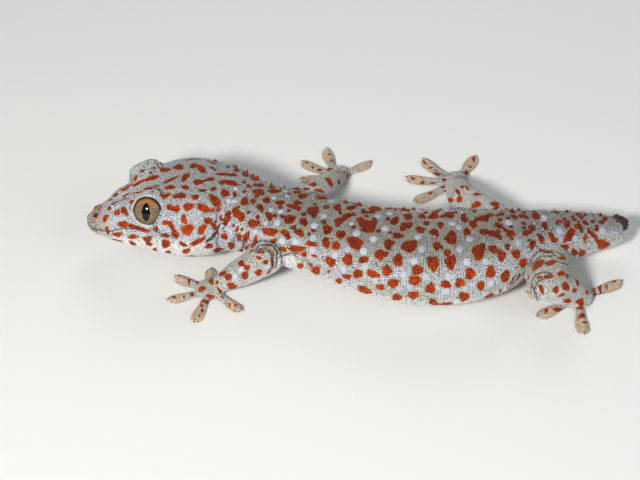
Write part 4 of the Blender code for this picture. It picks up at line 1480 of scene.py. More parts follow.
def cover_trunk(low, high):
    """Rings of scales from the nape to the stump, between two angles from the top of the back."""
    along, ring = RINGS_START, 0
    trial = np.linspace(0, 2 * math.pi, 90, endpoint=False)
    while along < STUMP_END:
        loop = body_points(np.full(90, along), trial)
        travelled = travelled_along(np.vstack((loop, loop[:1])))
        origin, back, _, _ = (rows[0] for rows in body_frames(along))
        arcs = []
        arc = (ring % 2) * 0.4
        while arc < travelled[-1]:
            arcs.append(arc)
            angle = float(np.interp(arc, travelled, np.append(trial, 2 * math.pi)))
            arc += body_spacing(along, (angle + math.pi) % (2 * math.pi) - math.pi)
        arcs = np.array(arcs) + draw.uniform(-0.09, 0.09, len(arcs))
        angles = np.interp(arcs, travelled, np.append(trial, 2 * math.pi))
        wavers = 0.3 * np.sin(angles * 3 + along * 0.23) + draw.uniform(-0.1, 0.1, len(arcs))
        starts = body_points(along + wavers, angles, 5.0)
        for angle, start in zip((angles + math.pi) % (2 * math.pi) - math.pi, starts):
            if not low <= abs(angle) < high:
                continue
            height = 0.17 if abs(angle) > 1.7 else 0.27
            aim = origin + (start - origin) * 0.2
            set_scale("trunk", start, aim, back, body_spacing(along, angle), 6.8, height)
        along += 0.88 * body_spacing(along, (low + high) / 2)
        ring += 1


def cover_limbs():
    """Rings of scales along both lengths of each limb."""
    spacing = LIMB_SPACING
    for start, axis, length, radii in LENGTHS:
        first, second = spokes(axis)
        for ring, out in enumerate(np.arange(-radii[0] * 0.9, length + radii[2], 0.87 * spacing)):
            radius = float(np.interp(out / length, (0, 0.5, 1), radii))
            count = max(6, int(2 * math.pi * radius / spacing))
            for k in range(count):
                turn = 2 * math.pi * (k + 0.5 * (ring % 2) + draw.uniform(-0.12, 0.12)) / count
                middle = start + axis * (out + draw.uniform(-0.09, 0.09))
                edge = middle + (first * math.cos(turn) + second * math.sin(turn)) * (radius + 4)
                set_scale("limbs", edge, middle, axis, spacing, 5.5, 0.24)


def cover_feet():
    """Rows of small scales over the toes and the backs of the hands and feet."""
    spacing = TOE_SPACING
    for root, ahead, length, width in TOE_LINES:
        across = sideways(ahead)
        for row, out in enumerate(np.arange(1.0, length + 0.2, 0.87 * spacing)):
            for side in np.arange(-width - 0.3 + (row % 2) * spacing / 2, width + 0.4, spacing):
                over = root + ahead * out + across * side
                top = over + np.array((0, 0, 4.6))
                set_scale("feet", top, over, ahead, spacing, 4.55, 0.15)


def fill_bare(count, tightness, head_only=False, shrink=1.0):
    """Random places: all of the head's scales, and whatever the rings and rows left bare."""
    places, normals = skin_samples(count)
    if head_only:
        on_head_part = places[:, 0] < STATIONS[0, 0] + RINGS_START + 4
        places, normals = places[on_head_part], normals[on_head_part]
    along, angle = axis_address(places)
    part = parts_of(places)
    before = len(layout.rows)
    lie = np.array((1.0, 0.0, 0.0))
    for i, (place, normal) in enumerate(zip(places, normals)):
        height = 0.17 if normal[2] < -0.5 else 0.24
        if part[i] >= FIRST_FOOT:
            region, spacing, height = "feet", 0.58, 0.15
        elif part[i]:
            region, spacing = "limbs", LIMB_SPACING
        else:
            region = "head" if along[i] < RINGS_START else "trunk"
            spacing = body_spacing(along[i], angle[i])
        spacing *= shrink
        if not layout.is_free(place, spacing * tightness) or bare_here(place, normal):
            continue
        layout.take(place, spacing)
        layout.rows.append((place, normal, lie, spacing, height, region))
    return len(layout.rows) - before


# %% [markdown]
# Larger, pointed tubercles stand between the small scales: pale ones where the photograph shows
# them, and rows of others along the back and flanks, where a tokay carries about a dozen rows.

# %% Tubercles
TUBERCLE_ROWS = np.radians((-84, -66, -50, -36, -22, -8, 8, 22, 36, 50, 66, 84))
TUBERCLE_STEP = 4.4
BUTTON_LEAST, BUTTON_MOST, BUTTON_HEIGHT = 1.0, 1.45, 0.45
NAPE_CONE = (1.1, 1.75)
BACK_CONE, FLANK_CONE = (0.95, 1.3), (0.72, 0.5)
NAPE_CONES = ((245, 175.5), (256, 180), (269, 184.5), (236, 171), (281, 188))
buttons, cones = [], []


def set_tubercle(kept, place, normal, back, width, height):
    if bare_here(place, normal) or not layout.is_free(place, width * 2.2):
        return
    layout.take(place, width * 2.2, 1)
    kept.append((place, normal, back, width, height))


backward = np.array((1.0, 0.0, 0.0))
for u, v in NAPE_CONES:
    place, normal = place_of_pixel(skin_tree, u, v)
    set_tubercle(cones, place, normal, backward, *NAPE_CONE)
for place, normal, radius in pale_places:
    width = min(max(radius * 1.1, BUTTON_LEAST), BUTTON_MOST)
    set_tubercle(buttons, place, normal, backward, width, BUTTON_HEIGHT)
for row, angle in enumerate(TUBERCLE_ROWS):
    for along in np.arange(HEAD_END - 6 + (row % 2) * TUBERCLE_STEP / 2, STUMP_END - 3, TUBERCLE_STEP):
        shift = draw.uniform(-0.9, 0.9, 2)
        target, target_normal = snapped(body_points(along + shift[0], angle + shift[1] / 16, 0.0))
        share = 0.6 + 0.4 * draw.uniform()
        if parts_of(target)[0] == 0:
            back = body_frames(along)[1][0]
            width, height = BACK_CONE if abs(angle) < 0.9 else FLANK_CONE
            set_tubercle(cones, target[0], target_normal[0], back, width * share, height * share)
print("tubercles:", len(buttons), "pale and", len(cones), "pointed")

# %% [markdown]
# The head is filled first, then the rings of back and belly, then the feet and limbs.

# %% Setting the scales
fill_bare(260000, 0.98, head_only=True)
cover_trunk(0.0, 1.62)
cover_trunk(1.62, 4.0)
body_count = len(layout.rows)
cover_feet()
cover_limbs()
ring_count = len(layout.rows)
filled = fill_bare(150000, 1.06)
granules = fill_bare(200000, 1.0, shrink=0.62)
print("scales:", body_count, "body,", ring_count - body_count, "limbs and feet")
print("scales between them:", filled, "filled in,", granules, "small")

# %% [markdown]
# Every scale takes its colour from the markings at its root, as one even tone, and so does the
# thin skin between them. The tones are kept as named values on the points, and one shader group
# turns them into colour and roughness for skin, scales, tubercles and lips alike.

# %% Tones on points
SNOUT_TAN_END = 10.0
CHEST_PIXEL, CHEST_REACH = (287, 263), 7.5
chest_place = place_of_pixel(skin_tree, *CHEST_PIXEL)[0]


def mouth_drop(points, along):
    """How far below the mouth's line points of the head lie."""
    origin, _, _, up = body_frames(along)
    return mouth_height(along) - ((points - origin) * up).sum(axis=1)


def fold_shade_at(points):
    """Painted shade: 1 in the drawn folds, fading over their half-width."""
    shade_in_folds = np.zeros(len(points))
    for line, depth, width in drawn_folds:
        low, high = line.min(axis=0) - 2, line.max(axis=0) + 2
        close = np.flatnonzero(((points > low) & (points < high)).all(axis=1))
        if len(close):
            fading = bell(distance_to_line(points[close], line), 0, 1.2 * width)
            shade_in_folds[close] = np.maximum(shade_in_folds[close], min(depth * 3.4, 1.0) * fading)
    return shade_in_folds


def tones_at(points, normals):
    """Every tone that skin and scales share, as named rows."""
    along, angle = axis_address(points)
    on_body = parts_of(points) == 0
    belly = smoothstep(0.0, 0.48, -normals[:, 2]) * np.where(on_body, 1.0, 0.75)
    jaw = (1 - smoothstep(40, 54, along)) * smoothstep(0.8, 3.6, mouth_drop(points, along))
    belly = np.maximum(belly, np.where(on_body, 0.9 * jaw, 0.0))
    belly = np.maximum(belly, 0.9 * near(points, chest_place, CHEST_REACH))
    on_back = smoothstep(0.25, 0.95, np.cos(angle))
    dusk = np.where(on_body, on_back, 0.3 * smoothstep(0.2, 0.9, normals[:, 2]))
    behind_face = smoothstep(4.0, 34.0, along) * 0.6 + 0.4 * smoothstep(46, 70, along)
    dusk = dusk * np.where(on_body, behind_face, 1.0)
    # Painted shade: near black along the mouth's line, in the ear slits and in the nostrils.
    hollow_shade = 1 - smoothstep(0.12, 0.42, distance_to_line(points, lip_line))
    blush = np.zeros(len(points))
    for side in (1, -1):
        hollow_shade = np.maximum(hollow_shade, 1 - smoothstep(0.7, 1.1, ear_spread(points, side)))
        opened = np.linalg.norm(points - nostril_place(side)[0], axis=1) / NOSTRIL_RADIUS
        hollow_shade = np.maximum(hollow_shade, 1 - smoothstep(0.75, 1.15, opened))
        blush = np.maximum(blush, bell(opened, 1.75, 0.5))
    return {
        "hollow_shade": np.where(on_body & (along < HEAD_END + 3), hollow_shade, 0.0),
        "blush": np.where(on_body, blush, 0.0),
        "trunk": np.where(on_body, smoothstep(HEAD_END - 6, NECK_END + 8, along), 0.7),
        "limb": np.where(on_body, 0.0, 0.6),
        "fold_shade": fold_shade_at(points),
        "orange": orange_at(points),
        "pale": pale_at(points),
        "belly": belly,
        "dusk": dusk,
        "toe": smoothstep(0.42, 0.72, toe_share(points)),
        "snout": np.where(on_body, 1 - smoothstep(2.0, SNOUT_TAN_END, along), 0.0),
    }


def add_values(mesh, name, values, kind="FLOAT", field="value"):
    """Keeps one row of values per point on a mesh."""
    attribute = mesh.attributes.new(name, kind, "POINT")
    attribute.data.foreach_set(field, np.asarray(values, np.float32).ravel())


print("tones ready")

# %% Node helpers
def add_node(tree, kind, **settings):
    node = tree.nodes.new(kind)
    for key, value in settings.items():
        setattr(node, key, value)
    return node


def set_input(tree, socket, value):
    """Links a socket to another, or sets its own value."""
    if isinstance(value, bpy.types.NodeSocket):
        tree.links.new(value, socket)
    elif isinstance(value, tuple) and len(value) == 3 and socket.type == "RGBA":
        socket.default_value = (*value, 1.0)
    else:
        socket.default_value = value


def blend_colours(tree, factor, first, second, kind="MIX"):
    node = add_node(tree, "ShaderNodeMix", data_type="RGBA", blend_type=kind)
    set_input(tree, node.inputs[0], factor)
    set_input(tree, node.inputs[6], first)
    set_input(tree, node.inputs[7], second)
    return node.outputs[2]


def calculate(tree, operation, first, second=None, third=None):
    node = add_node(tree, "ShaderNodeMath", operation=operation)
    for socket, value in zip(node.inputs, (first, second, third)):
        if value is not None:
            set_input(tree, socket, value)
    return node.outputs[0]


def between(tree, value, low, high, start=0.0, end=1.0):
    """A value brought from one range to another along a smooth step."""
    node = add_node(tree, "ShaderNodeMapRange", interpolation_type="SMOOTHSTEP")
    for socket, number in zip(node.inputs[:5], (value, low, high, start, end)):
        set_input(tree, socket, number)
    return node.outputs[0]


def own_value(tree, name):
    return add_node(tree, "ShaderNodeAttribute", attribute_type="GEOMETRY", attribute_name=name).outputs["Fac"]


def noise(tree, place, scale, detail=2.0, roughness=0.5):
    node = add_node(tree, "ShaderNodeTexNoise")
    set_input(tree, node.inputs["Vector"], place)
    for name, value in (("Scale", scale), ("Detail", detail), ("Roughness", roughness)):
        node.inputs[name].default_value = value
    return node.outputs["Fac"]


def object_place(tree):
    return add_node(tree, "ShaderNodeTexCoord").outputs["Object"]


print("node helpers ready")

# %% [markdown]
# The ground colour of a tokay runs from lilac grey on the flanks to dark olive grey on the back
# and to a whitish belly; toes and snout are tan. The marks are bright orange low on the flank
# and brick red on the back, with a thin ochre edge. Each scale is darker at its rim, a painted
# shade, and the skin between the scales is darker still, painted shade in the gaps.

# %% The gecko's tones
LILAC_GREY = (0.46, 0.47, 0.51)
OLIVE_GREY = (0.38, 0.4, 0.33)
BACK_GREY = (0.19, 0.185, 0.165)
BELLY_WHITE = (0.68, 0.67, 0.65)
BRIGHT_ORANGE = (0.36, 0.036, 0.0005)
BRICK_RED = (0.17, 0.018, 0.003)
OCHRE = (0.3, 0.17, 0.06)
LIMB_CREAM = (0.47, 0.46, 0.41)
# Painted shade laid into the drawn folds of loose skin.
FOLD_SHADE_BROWN = (0.1, 0.085, 0.07)
NOSTRIL_PINK = (0.5, 0.2, 0.1)
# Painted shade, near black, for the mouth's line, the ear slits and the nostrils.
HOLLOW_SHADE_DARK = (0.012, 0.01, 0.012)
TOE_TAN = (0.52, 0.39, 0.27)
SNOUT_TAN = (0.26, 0.19, 0.13)
PALE_BLUE = (0.42, 0.44, 0.51)
# Each: the tone, its share at most, and the colour that it lays over those before it.
GROUND_TONES = (
    ("limb", 1.0, LIMB_CREAM),
    ("dusk", 0.85, BACK_GREY),
    ("belly", 1.0, BELLY_WHITE),
    ("snout", 0.7, SNOUT_TAN),
    ("toe", 0.85, TOE_TAN),
)
TOP_TONES = (("blush", 0.7, NOSTRIL_PINK), ("fold_shade", 0.75, FOLD_SHADE_BROWN), ("hollow_shade", 1.0, HOLLOW_SHADE_DARK))
SKIN_GLOSS = 0.2


def gecko_tones():
    """A shader group that reads the tones on the points and gives colour and roughness."""
    group = bpy.data.node_groups.new("gecko tones", "ShaderNodeTree")
    for name, value in (("Crown", 1.0), ("Grain", 0.0), ("Painted rim shade", 0.5)):
        socket = group.interface.new_socket(name, in_out="INPUT", socket_type="NodeSocketFloat")
        socket.default_value = value
    group.interface.new_socket("Colour", in_out="OUTPUT", socket_type="NodeSocketColor")
    group.interface.new_socket("Roughness", in_out="OUTPUT", socket_type="NodeSocketFloat")
    given = add_node(group, "NodeGroupInput").outputs
    result = add_node(group, "NodeGroupOutput")
    place = object_place(group)

    def laid_over(below, tone, most, tint):
        """A colour laid over another as far as one of the tones says."""
        amount = calculate(group, "MULTIPLY", own_value(group, tone), most)
        return blend_colours(group, amount, below, tint)

    cloud = between(group, noise(group, place, 85.0, 3.0), 0.38, 0.62)
    share = calculate(group, "MULTIPLY_ADD", own_value(group, "trunk"), 0.6, 0.25)
    ground = blend_colours(group, calculate(group, "MULTIPLY", cloud, share), LILAC_GREY, OLIVE_GREY)
    for tone, most, tint in GROUND_TONES:
        ground = laid_over(ground, tone, most, tint)
    speck = between(group, noise(group, place, 900.0, 1.0), 0.3, 0.7, 0.86, 1.12)
    ground = blend_colours(group, 1.0, ground, speck, "MULTIPLY")
    ground = laid_over(ground, "pale", 0.75, PALE_BLUE)
    mark = blend_colours(group, own_value(group, "dusk"), BRIGHT_ORANGE, BRICK_RED)
    ember = between(group, noise(group, place, 420.0, 2.0), 0.35, 0.65, 0.72, 1.15)
    mark = blend_colours(group, 1.0, mark, ember, "MULTIPLY")
    strength = own_value(group, "orange")
    patchy = between(group, noise(group, place, 160.0, 1.0), 0.35, 0.6, 0.25, 0.85)
    halo = calculate(group, "MULTIPLY", between(group, strength, 0.1, 0.55), patchy)
    colour = blend_colours(group, halo, ground, OCHRE)
    colour = blend_colours(group, between(group, strength, 0.57, 0.7), colour, mark)
    for tone, most, tint in TOP_TONES:
        colour = laid_over(colour, tone, most, tint)
    # Painted shade: the colour darkens towards each scale's rim by its crown value, and the skin, which has no
    # crown, takes the rim shade all over as shade in the gaps between scales.
    rim = between(group, given["Crown"], 0.15, 0.85)
    rest = calculate(group, "SUBTRACT", 1.0, given["Painted rim shade"])
    rim = calculate(group, "MULTIPLY_ADD", rim, rest, given["Painted rim shade"])
    value = calculate(group, "MULTIPLY_ADD", given["Grain"], 0.13, 1.0)
    value = calculate(group, "MULTIPLY", value, rim)
    colour = blend_colours(group, 1.0, colour, value, "MULTIPLY")
    group.links.new(colour, result.inputs["Colour"])
    uneven = between(group, noise(group, place, 300.0), 0.3, 0.7, 0.42, 0.62)
    group.links.new(uneven, result.inputs["Roughness"])
    return group


tones_group = gecko_tones()


def plain_material(name, colour=(0.8, 0.8, 0.8), roughness=0.5):
    material = bpy.data.materials.new(name)
    material.use_nodes = True
    shader = material.node_tree.nodes["Principled BSDF"]
    shader.inputs["Base Color"].default_value = (*colour, 1.0)
    shader.inputs["Roughness"].default_value = roughness
    material.diffuse_color = (*colour, 1.0)
    return material, material.node_tree, shader


def toned_material(name, painted_rim_shade, on_scales=False, bump=0.0):
    """A material that shows the shared tones."""
    material, tree, shader = plain_material(name, LILAC_GREY, 0.5)
    tones = add_node(tree, "ShaderNodeGroup", node_tree=tones_group)
    tones.inputs["Painted rim shade"].default_value = painted_rim_shade
    for socket in ("Crown", "Grain"):
        set_input(tree, tones.inputs[socket], own_value(tree, socket.lower()) if on_scales else 0.0)
    tree.links.new(tones.outputs["Colour"], shader.inputs["Base Color"])
    tree.links.new(tones.outputs["Roughness"], shader.inputs["Roughness"])
    shader.inputs["Specular IOR Level"].default_value = SKIN_GLOSS
    if bump:
        relief = add_node(tree, "ShaderNodeBump")
        relief.inputs["Distance"].default_value = bump
        set_input(tree, relief.inputs["Height"], noise(tree, object_place(tree), 1400.0, 2.0))
        tree.links.new(relief.outputs["Normal"], shader.inputs["Normal"])
    return material


# Painted shade: the skin is darkened to about a third as shade between the scales, scales and tubercles to about
# half at their rims, and the lip plates only a little.
skin_surface = toned_material("gecko_skin", 0.32, bump=0.00008)
lip_surface = toned_material("lip_plates", 0.95)
scale_surface = toned_material("gecko_scales", 0.48, on_scales=True)
tubercle_surface = toned_material("gecko_tubercles", 0.48, on_scales=True)
print("materials:", len(bpy.data.materials))

# %% [markdown]
# One low closed dome is the pattern for all small scales, and a small pointed cone for the
# tubercles. A Geometry Nodes tree sets the pattern on every place, turned to the skin there,
# makes the copies real, and gives each its own small patch of the skin's unwrap.

# %% Patterns for scales and tubercles
def pattern_piece(name, rings, apex, sides, phase=0.0):
    """A closed bead: rings of (radius, height, crown value) and an apex."""
    points, crowns = [], []
    for radius, height, crown in rings:
        for k in range(sides):
            turn = 2 * math.pi * k / sides + phase
            points.append((radius * math.cos(turn), radius * math.sin(turn), height))
            crowns.append(crown)
    points.append((0.0, 0.0, apex))
    crowns.append(1.0)
    faces = [tuple(range(sides))[::-1]]
    for ring in range(len(rings) - 1):
        for k in range(sides):
            j = (k + 1) % sides
            low, high = ring * sides, (ring + 1) * sides
            faces.append((low + k, low + j, high + j, high + k))
    last = (len(rings) - 1) * sides
    faces += [(last + k, last + (k + 1) % sides, len(points) - 1) for k in range(sides)]
    mesh = bpy.data.meshes.new(name)
    mesh.from_pydata(points, [], faces)
    shade_smooth(mesh)
    add_values(mesh, "crown", crowns)
    flat = np.array(points)[:, :2] * 0.45
    add_values(mesh, "patch", np.column_stack((flat, np.zeros(len(flat)))), "FLOAT_VECTOR", "vector")
    piece = bpy.data.objects.new(name, mesh)
    bpy.context.scene.collection.objects.link(piece)
    return piece


# A pattern's crown value, 0 at its base and 1 at its apex, sets how far painted shade darkens it towards the
# rim.
bead = pattern_piece("bead_pattern", ((1.0, -0.35, 0.0), (1.0, 0.1, 0.2), (0.66, 0.8, 0.8)), 1.0, 6, 0.52)
cone = pattern_piece(
    "cone_pattern", ((1.15, -0.4, 0.0), (1.1, 0.08, 0.1), (0.74, 0.32, 0.5), (0.36, 0.72, 0.9)), 1.0, 8
)
button = pattern_piece(
    "button_pattern", ((1.0, -0.5, 0.0), (1.02, 0.1, 0.25), (0.86, 0.62, 0.75), (0.5, 0.9, 1.0)), 1.0, 10
)


LEAST_SIZE, MOST_SIZE = (0.93, 0.93, 0.85), (1.07, 1.07, 1.15)
PATCH_WIDTH = 0.003
RED_CONE_CHANCE, RED_CONE_UPRIGHT = 0.65, 0.88


def setting_tree():
    """The tree that sets a pattern on points and makes it real."""
    tree = bpy.data.node_groups.new("set on skin", "GeometryNodeTree")
    tree.is_modifier = True
    inputs = (
        ("Geometry", "Geometry"),
        ("Pattern", "Object"),
        ("Patch width", "Float"),
        ("Seed", "Int"),
        ("Surface", "Material"),
    )
    for name, kind in inputs:
        tree.interface.new_socket(name, in_out="INPUT", socket_type="NodeSocket" + kind)
    tree.interface.new_socket("Geometry", in_out="OUTPUT", socket_type="NodeSocketGeometry")
    given = add_node(tree, "NodeGroupInput").outputs

    def step(kind, feeds, **settings):
        """One more node, its inputs linked to other nodes or set to values."""
        node = add_node(tree, kind, **settings)
        for name, value in feeds.items():
            set_input(tree, node.inputs[name], value)
        return node.outputs

    def named(name, kind="FLOAT_VECTOR"):
        outputs = step("GeometryNodeInputNamedAttribute", {"Name": name}, data_type=kind)
        return outputs["Attribute"]

    pattern = step("GeometryNodeObjectInfo", {"Object": given["Pattern"]})
    uneven = step(
        "FunctionNodeRandomValue",
        {"Min": LEAST_SIZE, "Max": MOST_SIZE, "Seed": given["Seed"]},
        data_type="FLOAT_VECTOR",
    )
    feeds = {0: named("size"), 1: uneven["Value"]}
    sized = step("ShaderNodeVectorMath", feeds, operation="MULTIPLY")
    feeds = {
        "Points": given["Geometry"],
        "Instance": pattern["Geometry"],
        "Rotation": named("turn", "QUATERNION"),
        "Scale": sized["Vector"],
    }
    copies = step("GeometryNodeInstanceOnPoints", feeds)
    real = step("GeometryNodeRealizeInstances", {"Geometry": copies["Instances"]})
    feeds = {0: named("patch"), "Scale": given["Patch width"]}
    spread = step("ShaderNodeVectorMath", feeds, operation="SCALE")
    feeds = {0: named("root"), 1: spread["Vector"]}
    summed = step("ShaderNodeVectorMath", feeds, operation="ADD")
    kept = step(
        "GeometryNodeStoreNamedAttribute",
        {"Name": "OFBake", "Geometry": real["Geometry"], "Value": summed["Vector"]},
        data_type="FLOAT2",
        domain="CORNER",
    )
    feeds = {"Geometry": kept["Geometry"], "Material": given["Surface"]}
    dressed = step("GeometryNodeSetMaterial", feeds)
    result = add_node(tree, "NodeGroupOutput")
    tree.links.new(dressed["Geometry"], result.inputs["Geometry"])
    return tree


set_on_skin = setting_tree()


def quaternions(normals, lies):
    """Turns that take the pattern's height to each normal and its length to each lie."""
    up = unit(normals)
    long = unit(lies - (lies * up).sum(axis=1)[:, None] * up)
    side = np.cross(up, long)
    turns = []
    for x, y, z in zip(long, side, up):
        turns.append(tuple(Matrix((x, y, z)).transposed().to_quaternion()))
    return np.array(turns)


def set_pieces(name, places, normals, lies, sizes, pattern, surface, seed):
    """One coat piece: the pattern on every place, with the markings at its root."""
    mesh = mesh_of(name + "_roots", places, [])
    add_values(mesh, "turn", quaternions(normals, lies), "QUATERNION")
    add_values(mesh, "size", sizes * MM, "FLOAT_VECTOR", "vector")
    root = unwrapped(places, parts_of(places))
    add_values(mesh, "root", np.column_stack((root, np.zeros(len(root)))), "FLOAT_VECTOR", "vector")
    for tone, values in tones_at(places, normals).items():
        add_values(mesh, tone, values)
    add_values(mesh, "grain", np.random.default_rng(seed).uniform(-1, 1, len(places)))
    roots = new_piece(name, mesh)
    modifier = roots.modifiers.new("set", "NODES")
    modifier.node_group = set_on_skin
    inputs = [item for item in set_on_skin.interface.items_tree if item.in_out == "INPUT"]
    sockets = {item.name: item.identifier for item in inputs}
    modifier[sockets["Pattern"]] = pattern
    modifier[sockets["Patch width"]] = PATCH_WIDTH
    modifier[sockets["Seed"]] = seed
    modifier[sockets["Surface"]] = surface
    result = keep_result(roots)
    if name == "pointed_tubercles":
        chance = np.random.default_rng(seed).uniform(size=len(places))
        red = (normals[:, 2] > RED_CONE_UPRIGHT) & (chance < RED_CONE_CHANCE)
        red |= places[:, 0] < STATIONS[0, 0] + NECK_END - 2
        count = len(result.vertices) // len(places)
        marks = np.maximum(orange_at(places), red)
        result.attributes["orange"].data.foreach_set("value", np.repeat(marks, count).astype(np.float32))
    if surface is scale_surface:
        # The spots and the painted shade of the folds are read again at every point of the scales.
        for tone, reader in (("orange", orange_at), ("fold_shade", fold_shade_at)):
            result.attributes[tone].data.foreach_set("value", reader(points_of(result)).astype(np.float32))
    for helper in ("turn", "size", "root", "patch"):
        if helper in result.attributes:
            result.attributes.remove(result.attributes[helper])
    return roots


print("patterns:", len(bead.data.polygons), "and", len(cone.data.polygons), "faces")

# %% [markdown]
# The rows of places are cut into pieces of even size, so that no single mesh grows too heavy.

# %% Scales and tubercles as real pieces
SCALES_PER_PIECE = 6200
SCALE_SPREAD = 0.65
SCALE_SEED, TUBERCLE_SEED, LID_SEED = 40, 90, 95
coat = []


def add_to_coat(name, rows, spread, pattern, surface, seed):
    """One more coat piece, from rows of place, normal, lie, width and height."""
    places, normals, lies = (np.array([row[k] for row in rows]) for k in range(3))
    sizes = np.array([(row[3] * spread, row[3] * spread, row[4]) for row in rows])
    coat.append(set_pieces(name, places, normals, lies, sizes, pattern, surface, seed))


for number, region in enumerate(("head", "trunk", "limbs", "feet")):
    rows = [row for row in layout.rows if row[5] == region]
    chunks = math.ceil(len(rows) / SCALES_PER_PIECE)
    if region == "trunk":
        rows.sort(key=lambda row: row[0][0])
    for chunk in range(chunks):
        part = rows[chunk * len(rows) // chunks : (chunk + 1) * len(rows) // chunks]
        name = f"{region}_scales_{chunk + 1}" if chunks > 1 else f"{region}_scales"
        seed = SCALE_SEED + 10 * number + chunk
        add_to_coat(name, part, SCALE_SPREAD, bead, scale_surface, seed)
for name, rows, pattern in (("pale_tubercles", buttons, button), ("pointed_tubercles", cones, cone)):
    add_to_coat(name, rows, 1.0, pattern, tubercle_surface, TUBERCLE_SEED)
for pattern in (cone, button):
    bpy.data.objects.remove(pattern)
print("coat:", [(piece.name, len(piece.data.polygons)) for piece in coat])

# %% [markdown]
# A tokay's eye is a large glossy ball behind a clear scale, with a golden iris and an upright
# slit whose edges are lobed. Each point of the ball keeps its own direction in the eye's frame,
# and the material draws iris and slit from that direction, so both eyes look their own way.

# %% Eyes
EYEBALL_RADIUS = 5.55
SLIT_HALF_HEIGHT, SLIT_HALF_WIDTH = 0.6, 0.28
IRIS_GOLD, IRIS_BROWN, IRIS_BAND = (0.24, 0.165, 0.09), (0.11, 0.075, 0.042), (0.36, 0.14, 0.035)
# The dark edge of the iris: partly a dark ring of the iris itself, partly painted shade under the lids.
IRIS_EDGE_AND_LID_SHADE = (0.02, 0.014, 0.01)
SLIT_BLACK = (0.004, 0.004, 0.005)


def eye_material():
    material, tree, shader = plain_material("eye_surface", IRIS_GOLD, 0.2)

    def work(operation, *values):
        return calculate(tree, operation, *values)

    gaze = add_node(tree, "ShaderNodeAttribute", attribute_type="GEOMETRY", attribute_name="gaze")
    split = add_node(tree, "ShaderNodeSeparateXYZ")
    tree.links.new(gaze.outputs["Vector"], split.inputs[0])
    across, above, ahead = split.outputs
    spread = work("SQRT", work("ADD", work("POWER", across, 2.0), work("POWER", above, 2.0)))
    inverse = work("DIVIDE", 1.0, work("MAXIMUM", spread, 0.02))
    ray = add_node(tree, "ShaderNodeCombineXYZ")
    for socket, value, factor in zip(ray.inputs, (across, above, spread), (inverse, inverse, 0.7)):
        tree.links.new(work("MULTIPLY", value, factor), socket)
    streak = between(tree, noise(tree, ray.outputs[0], 11.0, 6.0, 0.7), 0.34, 0.66)
    iris = blend_colours(tree, streak, IRIS_BROWN, IRIS_GOLD)
    band = work("MULTIPLY", between(tree, above, 0.22, 0.5), between(tree, spread, 0.45, 0.62))
    iris = blend_colours(tree, work("MULTIPLY", band, 0.8), iris, IRIS_BAND)
    # The iris darkens towards the lids: its own dark ring, and painted shade of the lids over it.
    iris = blend_colours(tree, between(tree, spread, 0.7, 0.84), iris, IRIS_EDGE_AND_LID_SHADE)
    height = work("DIVIDE", above, SLIT_HALF_HEIGHT)
    open_share = work("MAXIMUM", work("SUBTRACT", 1.0, work("POWER", height, 2.0)), 0.0)
    lobes = work("MULTIPLY_ADD", work("COSINE", work("MULTIPLY", height, 9.5)), 0.09, 0.95)
    edge = work("MULTIPLY", work("POWER", open_share, 0.7), SLIT_HALF_WIDTH)
    edge = work("MULTIPLY", edge, lobes)
    outside = work("SUBTRACT", work("ABSOLUTE", across), edge)
    in_front = work("GREATER_THAN", ahead, 0.0)
    slit = work("MULTIPLY", between(tree, outside, -0.012, 0.012, 1.0, 0.0), in_front)
    halo = between(tree, outside, 0.01, 0.07, 0.55, 0.0)
    iris = blend_colours(tree, halo, iris, IRIS_GOLD)
    iris = blend_colours(tree, slit, iris, SLIT_BLACK)
    tree.links.new(iris, shader.inputs["Base Color"])
    shader.inputs["Specular IOR Level"].default_value = 0.0
    shader.inputs["Coat Weight"].default_value = 0.6
    shader.inputs["Coat Roughness"].default_value = 0.04
    return material


eye_surface = eye_material()
eyes = []
for side, word in ((1, "left"), (-1, "right")):
    middle, axis = eye_middle(side), eye_axis(side)
    up = head_turn()[:, 2]
    above = unit(up - axis * (up @ axis))
    across = np.cross(above, axis)
    mesh = ball_mesh("eyeball", middle, [EYEBALL_RADIUS] * 3, segments=64, rings=40)
    offset = (points_of(mesh) - middle) / EYEBALL_RADIUS
    gaze = np.column_stack((offset @ across, offset @ above, offset @ axis))
    add_values(mesh, "gaze", gaze, "FLOAT_VECTOR", "vector")
    shade_smooth(mesh)
    eyes.append(new_piece("eyeball_" + word, mesh, eye_surface))
print("eyes:", len(eyes))

# %% [markdown]
# Fine scales ring each eye like beading, and a row of larger flat plates runs along each lip.
# The plates are curved slabs laid on the skin, each a little apart from the next.

# %% Lids
LID_FAR = 6.3
LID_ROWS = ((0.085, 0.46, 0.17), (0.19, 0.56, 0.2), (0.29, 0.6, 0.2))


def lid_scales():
    rows = []
    for middle, axis in eye_spots:
        first, second = spokes(axis)
        for opened, spacing, height in LID_ROWS:
            turn = EYE_OPENING_TURN + opened
            count = int(2 * math.pi * EYE_RADIUS * 1.07 * math.sin(turn) / spacing)
            for k in range(count):
                around = 2 * math.pi * k / count
                spoke = first * math.cos(around) + second * math.sin(around)
                ray = axis * math.cos(turn) + spoke * math.sin(turn)
                place, _, face, _ = skin_tree.find_nearest(Vector(middle + ray * LID_FAR))
                rows.append((np.array(place), surface_normal(face), spoke, spacing, height))
    return rows


rows = lid_scales()
add_to_coat("lid_scales", rows, SCALE_SPREAD, bead, scale_surface, LID_SEED)
bpy.data.objects.remove(bead)
print("lid scales:", len(rows))

LID_EDGE_TURN, LID_EDGE_FAR, LID_EDGE_SIZE = 0.015, 5.9, 0.33


